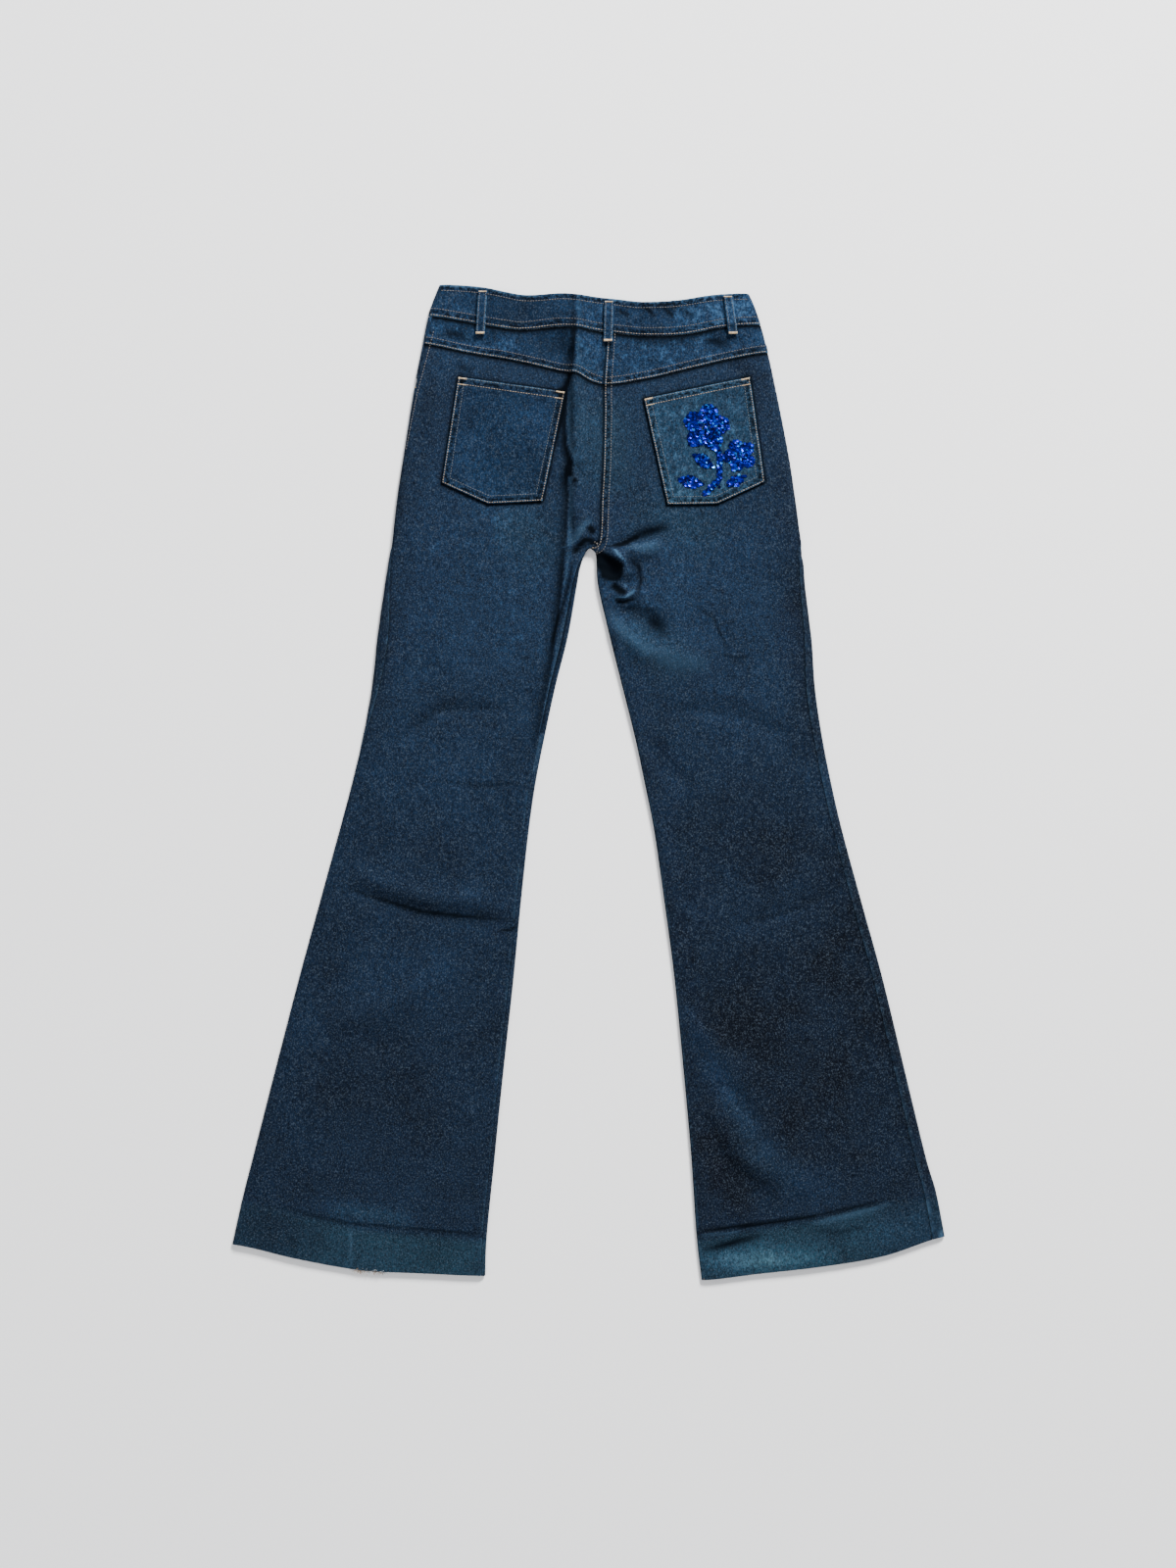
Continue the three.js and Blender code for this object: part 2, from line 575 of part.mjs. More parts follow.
function panelGrid(side, rows, placesOf, lie) {
  return rows.map((s) => placesOf(sectionAt(side, s)).map((place) => onForm(side, s, place, lie)));
}

for (const side of ['left', 'right']) {
  // The right back laps over the left one at the centre seam, and the yokes over the legs.
  const firstLapColumn = OUTER_SHARES.length + BACK_SHARES.length;
  const centreLap = (s, j) => side === 'right' && s < station('low_seat') && j >= firstLapColumn;

  const legRows = rowPlaces('yoke_seam', 'hem', SEAM_STEP, 0);
  const legLap = (i, j) => (centreLap(legRows[i], j) ? LAP : 0);
  add(`back_leg_${side}`, wall(panelGrid(side, legRows, backPlaces), CLOTH, legLap), denimLeg);

  const yokeRows = rowPlaces('band_bottom', 'yoke_seam', 3 * SEAM_STEP);
  yokeRows.splice(-1, 0, YOKE_LAP_START);
  const onLap = (i, j) => i >= yokeRows.length - 2 && j >= OUTER_SHARES.length;
  const yokeLap = (i, j) => (onLap(i, j) || centreLap(yokeRows[i], j) ? LAP : 0);
  add(`back_yoke_${side}`, wall(panelGrid(side, yokeRows, backPlaces), CLOTH, yokeLap), denimUpper);

  const frontRows = rowPlaces('band_bottom', 'hem', FRONT_STEP, 0);
  add(`front_leg_${side}`, wall(panelGrid(side, frontRows, frontPlaces), CLOTH), denimLeg);

  // The facing shows in the pocket opening, one layer behind the front panel.
  const facingRows = rowPlaces('band_bottom', 'pocket_top', FRONT_STEP, 0).slice(0, -1);
  const facing = wall(panelGrid(side, facingRows, facingPlaces, BEHIND_SCOOP), CLOTH);
  add(`front_pocket_facing_${side}`, facing, denimUpper);
}

// The waistband is one strip: from its left front end round the side, over the back and round the
// other side to its right front end, which lies behind the left one.
const bandRows = [...BAND_ROWS, station('band_bottom') - SEAM_STEP];

// x of the band's front columns, from its end to the side: close at the loop and the button.
function bandFrontStops(side) {
  const outward = side === 'left' ? -1 : 1;
  const loopX = FRONT_LOOPS[`front_${side}`];
  const end = centreFront + (side === 'left' ? BAND_OVERLAP : -BAND_UNDERLAP);
  const stops = [end, ...BUTTON_STOPS[side].map((d) => centreFront + d * outward)];
  stops.push(...LOOP_STOPS.map((d) => loopX + d * outward));
  const last = halves[side].outer[0] - outward * FILL_STEP;
  let x = loopX + outward * (LOOP_STOPS.at(-1) + FILL_STEP);
  while ((last - x) * outward > 0) {
    stops.push(x);
    x += outward * FILL_STEP;
  }
  return stops;
}

function bandHalf(side, s) {
  const at = sectionAt(side, s);
  const front = bandFrontStops(side).map((x) => frontPlace(Math.abs(x - at.outer)));
  const edge = [-UNDER_END, -0.5 * UNDER_END, 0, 0.33 * outerEnd(at), 0.66 * outerEnd(at)].map(fromOuter);
  const back = backPlaces(at).slice(2, -1);
  return [...front, ...edge, ...back].map((place) => onForm(side, s, place, IN_BAND));
}

const bandGrid = bandRows.map((s) => [
  ...bandHalf('left', s),
  onForm('left', s, backPlace(sectionAt('left', s).backWidth), IN_BAND),
  ...bandHalf('right', s).reverse(),
]);
const waistband = add('waistband', wall(bandGrid, BAND_CLOTH), denimUpper);

// Height of the highest face of some meshes over a point, or over a small square round it.
function heightOver(meshes, x, y) {
  let height = -Infinity;
  for (const mesh of meshes) {
    const position = mesh.geometry.attributes.position;
    const index = mesh.geometry.index.array;
    for (let k = 0; k < index.length; k += 3) {
      const [a, b, c] = [0, 1, 2].map((n) => index[k + n]);
      const [ax, ay, bx, by] = [position.getX(a), position.getY(a), position.getX(b), position.getY(b)];
      const [cx, cy] = [position.getX(c), position.getY(c)];
      const area = (bx - ax) * (cy - ay) - (cx - ax) * (by - ay);
      if (Math.abs(area) < 1e-6) continue;
      const u = ((x - ax) * (cy - ay) - (cx - ax) * (y - ay)) / area;
      const v = ((bx - ax) * (y - ay) - (x - ax) * (by - ay)) / area;
      if (u < 0 || v < 0 || u + v > 1) continue;
      const [az, bz, cz] = [position.getZ(a), position.getZ(b), position.getZ(c)];
      height = Math.max(height, az + u * (bz - az) + v * (cz - az));
    }
  }
  return height;
}

function restOver(meshes, x, y, reach) {
  const around = [[0, 0], [-reach, 0], [reach, 0], [0, -reach], [0, reach]];
  return Math.max(...around.map(([dx, dy]) => heightOver(meshes, x + dx, y + dy))) + SEAM_GAP;
}

const named = (name) => group.children.find((mesh) => mesh.name === name);
const REST_REACH = 3; // how far round a point a piece on top looks for the highest cloth

for (const [side, corners] of Object.entries(POCKET_CORNERS)) {
  const [topOuter, topInner, bottomInner, point, bottomOuter] = corners;
  const leg = [named(`back_leg_${side}`)];
  const mix = (a, b, t) => [lerp(a[0], b[0], t), lerp(a[1], b[1], t)];
  const grid = [];
  const height = topOuter[1] - bottomOuter[1];
  const rowShares = [0, POCKET_HEM / height];
  for (let i = 1; i < POCKET_ROWS; i++) rowShares.push(lerp(POCKET_HEM / height, 1, i / (POCKET_ROWS - 1)));
  for (const down of rowShares) {
    const row = [];
    for (let j = 0; j <= POCKET_COLUMNS; j++) {
      const t = j / POCKET_COLUMNS;
      const top = mix(topOuter, topInner, t);
      const bottom = t < 0.5 ? mix(bottomOuter, point, 2 * t) : mix(point, bottomInner, 2 * t - 1);
      row.push(mix(top, bottom, down));
    }
    grid.push(row);
  }
  const thickness = (i) => POCKET_CLOTH + (i < 2 ? POCKET_HEM_RISE : 0);
  const underside = (x, y) => restOver(leg, x, y, REST_REACH);
  add(`back_pocket_${side}`, slab(grid, underside, thickness), denimUpper);
}

for (const [name, [topX, topY, bottomX, bottomY]] of Object.entries(BACK_LOOPS)) {
  const carriers = [waistband, named('back_yoke_left'), named('back_yoke_right')];
  const grid = [];
  for (let i = 0; i < LOOP_ROWS; i++) {
    const t = i / (LOOP_ROWS - 1);
    const x = lerp(topX, bottomX, t);
    grid.push([-0.5, 0, 0.5].map((share) => [x + share * LOOP_WIDTH, lerp(topY, bottomY, t)]));
  }
  const arch = (y) => LOOP_ARCH * Math.sin(Math.PI * clamp((topY - y) / (topY - bottomY), 0, 1));
  const underside = (x, y) => restOver(carriers, x, y, REST_REACH) + arch(y);
  add(`belt_loop_${name}`, slab(grid, underside, () => LOOP_CLOTH), denimUpper);
}

for (const [name, x] of Object.entries(FRONT_LOOPS)) {
  const middle = bandMiddle(name.slice('front_'.length), x);
  const ys = [0.5, 0, -0.5].map((share) => middle + share * FRONT_LOOP_LENGTH);
  const grid = ys.map((y) => [-0.5, 0.5].map((share) => [x + share * LOOP_WIDTH, y]));
  add(`belt_loop_${name}`, slab(grid, () => 0, () => FRONT_LOOP_CLOTH), denimUpper);
}

// The waist button lies under the lifted end of the band.
const outline = columnsOf(BUTTON_COLUMNS, BUTTON_OUTLINE);
const buttonProfile = outline.inset.map((d, i) => new THREE.Vector2(BUTTON_RADIUS - d, outline.z[i]));
const button = add('waist_button', new THREE.LatheGeometry(buttonProfile, BUTTON_SIDES), brass);
button.rotation.x = Math.PI / 2;
button.position.set(centreFront, bandMiddle('left', centreFront), 0);

// Zip tape, slider and fly shield lie one behind the other, inside the front panels.
function centreFrontX(y) {
  let [top, bottom] = [station('band_bottom'), station('crotch')];
  for (let n = 0; n < 20; n++) {
    const middle = (top + bottom) / 2;
    const at = sectionAt('left', middle);
    if (frontOutline(at, at.frontWidth)[1] > y) top = middle;
    else bottom = middle;
  }
  return sectionAt('left', top).front;
}

const sliderPad = {
  x: centreFrontX(SLIDER_Y),
  y: SLIDER_Y,
  halfWidth: SLIDER.width / 2 + SLIDER_PAD.margin,
  halfLength: SLIDER.length / 2 + SLIDER_PAD.margin,
  fade: SLIDER_PAD.fade,
};
const behindFront = CLOTH + SEAM_GAP;
const tapeUnderside = (x, y) => behindFront + (SLIDER.height + SEAM_GAP) * padShare(sliderPad, x, y);
const shieldUnderside = (x, y) => tapeUnderside(x, y) + TAPE_CLOTH + SHIELD_GAP;

// Rows of the tape and the shield, close at the slider.
const flyRows = [ZIP_TOP, ...SLIDER_ROWS.map((d) => SLIDER_Y + d)];
const belowSlider = flyRows.at(-1);
for (let i = 1; i < FLY_ROWS; i++) flyRows.push(lerp(belowSlider, ZIP_BOTTOM, i / (FLY_ROWS - 1)));
const tapeEdges = [-0.5, -0.2, 0.2, 0.5].map((share) => share * ZIP_WIDTH);
const shieldEdges = [tapeEdges[0] - SHIELD_MARGIN, ...tapeEdges, tapeEdges[0] + SHIELD_WIDTH];
const flyGrid = (rows, edges) => rows.map((y) => edges.map((edge) => [centreFrontX(y) + edge, y]));

add('zip_tape', slab(flyGrid(flyRows, tapeEdges), tapeUnderside, () => TAPE_CLOTH), zipTape);
const shieldGrid = flyGrid([...flyRows, SHIELD_BOTTOM], shieldEdges);
add('fly_shield', slab(shieldGrid, shieldUnderside, () => CLOTH), denimUpper);
const slider = add('zip_slider', new THREE.BoxGeometry(SLIDER.width, SLIDER.length, SLIDER.height), brass);
slider.position.set(sliderPad.x, SLIDER_Y, behindFront + SLIDER.height / 2);

export default group;
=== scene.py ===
# Flared jeans laid flat, face down, with the back up.
# Tables are in millimetres, as in the part's source: +Z up, waist towards +Y, and left is the
# wearer's left, -X. to_frame() turns them into the frame's metres.
import math

import bpy
import numpy as np
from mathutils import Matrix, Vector
from mathutils.bvhtree import BVHTree


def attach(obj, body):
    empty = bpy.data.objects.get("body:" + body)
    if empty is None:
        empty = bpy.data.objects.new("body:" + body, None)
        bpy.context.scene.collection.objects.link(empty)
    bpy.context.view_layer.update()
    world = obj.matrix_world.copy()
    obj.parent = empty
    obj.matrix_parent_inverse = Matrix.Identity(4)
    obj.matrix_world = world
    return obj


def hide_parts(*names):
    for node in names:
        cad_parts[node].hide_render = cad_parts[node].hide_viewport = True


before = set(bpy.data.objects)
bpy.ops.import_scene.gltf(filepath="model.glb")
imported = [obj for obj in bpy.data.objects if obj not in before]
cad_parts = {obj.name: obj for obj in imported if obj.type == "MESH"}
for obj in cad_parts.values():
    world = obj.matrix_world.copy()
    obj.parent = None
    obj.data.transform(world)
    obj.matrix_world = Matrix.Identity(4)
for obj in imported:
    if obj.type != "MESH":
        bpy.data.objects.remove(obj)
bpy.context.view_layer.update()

MM = 0.001
CENTRE = np.array([-0.45, 1.5, 0.0])

# Cloth
CLOTH = 1.2
BAND_CLOTH = 2.2
BAND_RISE = 1  # how far the band stands above the cloth it is sewn over
POCKET_CLOTH = 1.4
LOOP_CLOTH = 1.8
TAPE_CLOTH = 1
SEAM_GAP = 0.3  # between two pieces that meet
LAP = 0.9  # rise of a lapped seam
LEAST_LOFT = 3.6  # least height of the back layer's outer face
SEAM_ALLOWANCE = 12  # of the leg panels

# Rolled side edges
OUTER_ROLL = 9
INNER_ROLL = 7
UNDER_ROLL = 4
ARC_PER_ROLL = 1.35  # cloth that a rolled edge takes up, for each millimetre of its roll
EDGE_SHARE = 0.42  # height of the outermost line, as a share of the loft
CLOSING = 2  # sections below the fork over which the inseam closes

# Sections from the waist to the hem. dip: how much lower the front is cut at its centre. loft:
# height of the back layer. fade: how pale the cloth is worn there, from 0 to 1.
SECTION_COLUMNS = ["dip", "loft", "fade"]
SECTIONS = {
    "band_top": [26, 6.4, 0.44],
    "band_middle": [26, 6.4, 0.42],
    "band_bottom": [26, 6.4, 0.46],
    "yoke_seam": [24, 6.5, 0.46],
    "pocket_top": [20, 6.6, 0.42],
    "hip": [14, 6.8, 0.42],
    "seat": [8, 7, 0.42],
    "low_seat": [4, 7.2, 0.44],
    "fork": [0, 7.4, 0.46],
    "crotch": [0, 7.4, 0.46],
    "below_crotch": [0, 7.2, 0.46],
    "upper_thigh": [0, 7, 0.46],
    "thigh_top": [0, 6.6, 0.46],
    "thigh": [0, 6.2, 0.44],
    "middle_thigh": [0, 6, 0.4],
    "lower_thigh": [0, 6, 0.36],
    "knee": [0, 5.8, 0.36],
    "below_knee": [0, 5.6, 0.35],
    "shin": [0, 5.6, 0.33],
    "middle_calf": [0, 5.4, 0.29],
    "calf": [0, 5.2, 0.27],
    "ankle": [0, 5.2, 0.28],
    "hem_crease": [0, 5, 0.32],
    "hem": [0, 5, 0.36],
}

# Each half, one row for each section, as in the part's source
HALF_COLUMNS = ["outer", "inner", "front", "y_0", "y_1", "y_2", "y_3", "y_4", "seam", "inseam"]
LEFT_HALF = {
    "band_top": [-171, 22, -14, 568, 565, 556, 558, 552, 9, 0],
    "band_middle": [-178, 22, -14, 550, 545, 536, 539, 533, 9, 0],
    "band_bottom": [-184, 22, -14, 532, 524, 516, 520, 513, 9, 0],
    "yoke_seam": [-190, 18, -13, 500, 490, 481, 469, 453, 6, 0],
    "pocket_top": [-199, 18, -12, 454, 447, 440, 433, 421, 4, 0],
    "hip": [-211, 17, -10, 378, 375, 373, 370, 365, 2, 0],
    "seat": [-219, 15, -6, 326, 326, 326, 326, 326, 2, 0],
    "low_seat": [-225, 12.5, -2, 275, 275, 275, 275, 275, 4, 0],
    "fork": [-226, 3, 1, 267.5, 267.5, 267.5, 267.5, 267.5, 4, 0],
    "crotch": [-227, -2, -2, 264.5, 264.5, 264.5, 264.5, 264.5, 5, 0],
    "below_crotch": [-228, -5, -5, 258, 258, 258, 258, 258, 6, 3],
    "upper_thigh": [-230, -9, -9, 247, 247, 247, 247, 247, 7, 6],
    "thigh_top": [-234, -14, -14, 221, 221, 221, 221, 221, 10, 8],
    "thigh": [-242, -24, -24, 165, 165, 165, 165, 165, 16, 9],
    "middle_thigh": [-248, -38, -38, 109, 109, 109, 109, 109, 12, 9],
    "lower_thigh": [-258, -50, -50, 53, 53, 53, 53, 53, 6, 9],
    "knee": [-271, -61, -61, -3, -3, -3, -3, -3, 1, 9],
    "below_knee": [-286, -69, -69, -59, -59, -59, -59, -59, -2, 8],
    "shin": [-309, -78, -78, -143, -143, -143, -143, -143, -3, 8],
    "middle_calf": [-332, -86, -86, -227, -227, -227, -227, -227, -3, 8],
    "calf": [-361, -98, -98, -339, -339, -339, -339, -339, -3, 8],
    "ankle": [-384, -107, -107, -429, -429, -429, -429, -429, -3, 8],
    "hem_crease": [-396, -116, -116, -476, -491, -507, -514, -519, -3, 8],
    "hem": [-408, -118, -118, -530, -546, -559, -563, -566, -3, 8],
}
RIGHT_HALF = {
    "band_top": [183, 22, -14, 558, 556, 550, 548, 552, -6, 0],
    "band_middle": [190, 22, -14, 543, 540, 531, 529, 533, -6, 0],
    "band_bottom": [197, 22, -14, 522, 519, 511, 509, 513, -6, 0],
    "yoke_seam": [205, 18, -13, 490, 482, 471, 460, 453, -5, 0],
    "pocket_top": [213, 18, -12, 454, 447, 440, 433, 421, -4, 0],
    "hip": [228, 17, -10, 378, 375, 373, 370, 365, -2, 0],
    "seat": [236, 15, -6, 326, 326, 326, 326, 326, 2, 0],
    "low_seat": [243, 12.5, -2, 275, 275, 275, 275, 275, 5, 0],
    "fork": [243, 3, 1, 267.5, 267.5, 267.5, 267.5, 267.5, 6, 0],
    "crotch": [244, 6, 6, 264.5, 264.5, 264.5, 264.5, 264.5, 7, 0],
    "below_crotch": [244, 8.5, 8.5, 258, 258, 258, 258, 258, 8, 1],
    "upper_thigh": [246, 9, 9, 247, 247, 247, 247, 247, 9, 2],
    "thigh_top": [248, 11, 11, 221, 221, 221, 221, 221, 10, 3],
    "thigh": [255, 24, 24, 165, 165, 165, 165, 165, 12, 3],
    "middle_thigh": [259, 38, 38, 109, 109, 109, 109, 109, 14, 3],
    "lower_thigh": [267, 52, 52, 53, 53, 53, 53, 53, 14, 3],
    "knee": [278, 64, 64, -3, -3, -3, -3, -3, 14, 3],
    "below_knee": [291, 75, 75, -59, -59, -59, -59, -59, 14, 3],
    "shin": [314, 87, 87, -143, -143, -143, -143, -143, 15, 3],
    "middle_calf": [337, 98, 98, -227, -227, -227, -227, -227, 15, 3],
    "calf": [364, 109, 109, -339, -339, -339, -339, -339, 16, 3],
    "ankle": [386, 117, 117, -429, -429, -429, -429, -429, 17, 3],
    "hem_crease": [398, 123, 123, -470, -478, -496, -507, -518, 18, 3],
    "hem": [408, 129, 129, -521, -543, -555, -563, -571, 18, 3],
}

# Folds along three points, x and y of each, then the height and half the width. The height is
# plus for a ridge and minus for a trough.
FOLDS = {
    "seat_tuck": [-9, 540, -13, 450, -11, 362, 5.5, 11],
    "seat_tuck_low": [-10, 372, -13, 310, -6, 268, 5, 11],
    "seat_tuck_drop": [-27, 530, -29, 440, -26, 300, -2, 7],
    "yoke_hollow": [-66, 503, -46, 508, -30, 503, -1.8, 12],
    "left_loop_hollow": [-167, 517, -135, 501, -104, 498, -1.8, 12],
    "right_loop_hollow": [117, 498, 150, 501, 175, 511, -1.8, 12],
    "inseam_hollow": [-34, 250, -38, 200, -52, 109, -2, 9],
    "crotch_crease": [28, 270, 57, 279, 95, 288, -2.5, 9],
    "crotch_crease_lip": [33, 254, 57, 262, 88, 268, 4, 9],
    "crotch_lip": [24, 268, 36, 250, 44, 228, 5, 9],
    "swirl_ring": [30, 222, 46, 205, 62, 222, 5, 9],
    "swirl_well": [48, 238, 44, 228, 42, 220, -3, 7],
    "right_thigh_hollow": [40, 199, 64, 190, 88, 176, -2.5, 10],
    "right_thigh_ridge": [31, 183, 61, 151, 138, 139, 5, 14],
    "right_knee_crease": [91, 81, 162, 84, 230, 52, -2.2, 12],
    "right_inner_hollow": [62, 56, 88, 18, 117, -11, -2, 12],
    "left_knee_crease": [-235, 41, -169, 84, -96, 84, -2, 13],
    "storage_crease_left": [-281, -122, -191, -149, -88, -161, -2.4, 9],
    "storage_ridge_left": [-281, -104, -191, -130, -88, -142, 2.4, 10],
    "left_shin_ridge": [-303, -277, -225, -258, -163, -210, 3.2, 17],
    "left_shin_hollow": [-270, -305, -225, -303, -174, -288, -1.6, 14],
    "storage_crease_right": [162, -164, 223, -150, 279, -127, -2, 12],
    "right_calf_ridge": [112, -274, 143, -301, 187, -348, 3.6, 14],
    "right_calf_crease": [150, -350, 173, -370, 194, -398, -2, 12],
    "right_hem_ridge": [140, -365, 174, -429, 263, -467, 3.6, 18],
    "right_hem_hollow": [122, -345, 148, -430, 221, -498, -2, 14],
}
FINE_FOLDS = {
    "tuck_foot": [-20, 537, -22, 445, -20, 358, -2.6, 4],
    "tuck_foot_low": [-19, 367, -22, 311, -19, 270, -2.6, 4],
    "tuck_brow": [-17, 525, -18, 440, -18, 290, 2.6, 6],
    "tuck_dimple": [-15, 362, -11, 353, -6, 342, -2.6, 5],
    "tuck_wing": [-16, 400, -2, 385, 8, 372, -0.9, 5],
    "yoke_dimple": [-50, 506, -37, 507, -25, 500, -1.4, 8],
    "pocket_side_hollow": [158, 476, 175, 467, 190, 447, -1.2, 7],
    "left_side_hollow": [-180, 442, -198, 355, -210, 288, -1.2, 8],
    "inseam_groove": [-27, 262, -33, 197, -48, 86, -1.3, 5],
    "crotch_well": [10, 258, 24, 250, 38, 240, -3.4, 5],
    "crotch_pocket": [12, 246, 24, 240, 36, 236, -3, 5],
    "swirl_rim": [28, 212, 41, 211, 56, 220, 2, 2.6],
    "swirl_hole": [28, 224, 34, 219, 42, 214, -3.4, 3.6],
    "swirl_slit": [30, 206, 41, 205, 54, 208, -2, 2.4],
    "crotch_fold_edge": [26, 269, 50, 276, 92, 289, -2.6, 3],
    "crotch_fold_brow": [31, 259, 55, 267, 80, 271, 1.2, 4],
    "thigh_hollow_edge": [38, 195, 62, 193, 82, 176, -1.5, 5],
    "thigh_streak_a": [119, 205, 150, 183, 171, 140, -0.7, 5],
    "thigh_streak_b": [141, 190, 167, 199, 209, 196, -0.6, 5],
    "thigh_streak_c": [91, 81, 129, 84, 158, 75, -0.8, 6],
    "thigh_streak_d": [158, 75, 180, 60, 230, 52, -0.7, 6],
    "thigh_shadow": [62, 56, 88, 18, 117, -11, -1.2, 7],
    "knee_streak": [201, -37, 235, -20, 273, -24, -0.6, 6],
    "knee_streak_low": [100, -128, 118, -140, 134, -154, -0.7, 5],
    "left_knee_streak_a": [-235, 41, -169, 84, -96, 84, -1, 5],
    "left_knee_streak_b": [-176, 1, -126, -6, -78, -2, -0.8, 5],
    "left_knee_streak_c": [-85, 34, -76, 26, -67, 18, -0.6, 5],
    "storage_edge_left": [-281, -122, -191, -149, -78, -161, -1.4, 3.5],
    "storage_edge_low": [-102, -171, -92, -170, -80, -169, -0.9, 4],
    "storage_edge_right": [162, -164, 223, -150, 279, -127, -0.9, 4.5],
    "shin_streak": [-328, -314, -312, -317, -299, -336, -0.7, 5],
    "inner_shin_groove": [-113, -317, -117, -361, -124, -402, -0.8, 6],
    "calf_streak": [102, -248, 116, -258, 131, -274, -0.9, 5],
    "calf_streak_low": [154, -346, 173, -364, 194, -393, -1, 6],
    "hem_shadow": [115, -339, 144, -423, 221, -494, -1, 8],
    "band_wrinkle_a": [37, 541, 62, 536, 93, 537, -0.7, 3.5],
    "band_wrinkle_b": [74, 542, 81, 536, 88, 525, -0.8, 3.5],
    "band_wrinkle_c": [89, 542, 100, 535, 109, 526, -0.8, 3.5],
    "band_wrinkle_d": [113, 540, 128, 539, 146, 536, -0.7, 3.5],
    "band_roll": [-9, 564, -10, 545, -11, 524, 1.2, 8],
}
# Creases of the hidden front, which arch up off the surface
UNDER_FOLDS = {
    "left_lap_crease": [-60, 300, -120, 318, -180, 305, 0.9, 9],
    "left_lap_crease_low": [-40, 262, -110, 268, -170, 245, 0.8, 8],
    "right_lap_crease": [30, 285, 100, 310, 180, 300, 0.9, 9],
    "right_lap_crease_low": [40, 250, 100, 245, 170, 262, 0.8, 8],
    "left_thigh_streak": [-70, 180, -120, 160, -190, 170, 0.6, 8],
    "right_thigh_streak": [60, 150, 130, 165, 200, 140, 0.6, 8],
    "left_knee_streak": [-100, 60, -160, 40, -220, 55, 0.8, 9],
    "left_knee_streak_low": [-110, 0, -170, -20, -240, -5, 0.7, 8],
    "right_knee_streak": [110, 40, 170, 20, 240, 45, 0.8, 9],
    "right_knee_streak_low": [120, -30, 190, -45, 260, -25, 0.7, 8],
    "left_storage_crease": [-290, -125, -190, -150, -90, -158, 0.9, 6],
    "right_storage_crease": [110, -160, 200, -152, 290, -128, 0.9, 6],
    "left_shin_streak": [-300, -270, -230, -285, -150, -260, 0.7, 10],
    "right_shin_streak": [150, -290, 220, -270, 300, -300, 0.7, 10],
    "left_hem_streak": [-340, -430, -260, -450, -180, -430, 0.6, 10],
    "right_hem_streak": [170, -440, 260, -420, 340, -440, 0.6, 10],
}
# Broad changes of the fade, in the same columns. The height is plus where the cloth is paler.
# The rows that follow folds are painted light: painted highlight on ridges, painted shade in hollows.
TONES = {
    "left_outer_side": [-212, 400, -235, 220, -252, 80, -0.16, 22],
    "right_outer_side": [226, 420, 246, 221, 268, 20, -0.22, 32],
    # Painted shade down the right leg's outer side, beside the side seam's ridge
    "right_outer_low": [285, -40, 330, -230, 380, -420, -0.08, 34],
    "band_left_end": [-180, 545, -150, 548, -110, 545, 0.02, 20],
    "band_right_side": [95, 533, 130, 535, 190, 532, 0.3, 18],
    "band_left_middle": [-120, 535, -80, 533, -40, 538, -0.16, 22],
    "yoke_left": [-150, 498, -90, 494, -45, 490, -0.04, 16],
    "yoke_right": [30, 482, 90, 490, 140, 495, 0.12, 16],
    "tuck_right": [0, 500, 2, 420, -2, 350, 0.02, 10],
    "seat_left": [-140, 300, -110, 290, -60, 300, 0.06, 30],
    "seat_right": [60, 300, 110, 296, 170, 290, 0.02, 26],
    "right_thigh_pale": [40, 170, 90, 210, 150, 150, 0.06, 34],
    "left_thigh_pale": [-180, 220, -130, 190, -90, 120, 0.04, 36],
    "left_knee_pale": [-230, 70, -170, 40, -100, 20, 0.07, 34],
    "right_knee_dark": [110, 10, 170, -40, 230, -120, -0.06, 44],
    "left_shin_pale": [-270, -200, -220, -230, -160, -250, 0.08, 32],
    "right_shin_dark": [150, -180, 200, -300, 260, -380, -0.07, 50],
    # Painted highlight along the calf and hem ridges, and painted shade in the hollow beside them
    "right_ridge_pale": [105, -255, 140, -320, 210, -430, 0.22, 15],
    "right_ridge_low": [190, -420, 235, -455, 290, -475, 0.12, 18],
    "right_low_dark": [125, -400, 150, -450, 190, -490, -0.14, 17],
    "left_low_blue": [-320, -488, -250, -492, -190, -503, 0.16, 11],
    "hem_left_outer": [-400, -500, -360, -520, -300, -535, -0.14, 26],
    "hem_right_patch": [118, -547, 180, -548, 290, -543, 0.5, 16],
    "hem_right_outer": [290, -528, 340, -518, 400, -500, 0.2, 20],
    "band_right_end": [160, 548, 176, 546, 190, 543, 0.14, 12],
    # thigh_ridge_pale: painted highlight on a ridge; yoke_left_dark and the hip rows: painted shade in
    # hollows
    "thigh_ridge_pale": [24, 190, 44, 166, 104, 137, 0.08, 13],
    "yoke_left_pale": [-118, 502, -95, 500, -70, 497, 0.12, 9],
    "yoke_left_dark": [-60, 488, -45, 492, -28, 505, -0.12, 9],
    "right_hip_dark": [172, 486, 182, 460, 192, 420, -0.12, 12],
    "left_hip_dark": [-176, 470, -184, 430, -196, 380, -0.1, 14],
    "below_left_pocket": [-120, 300, -90, 304, -50, 300, 0.08, 14],
    "seat_middle_pale": [12, 420, 16, 380, 14, 330, 0.06, 12],
}
RIGHT_LEG_DARKER = 0.07  # the change of its fade from the crotch to the knee
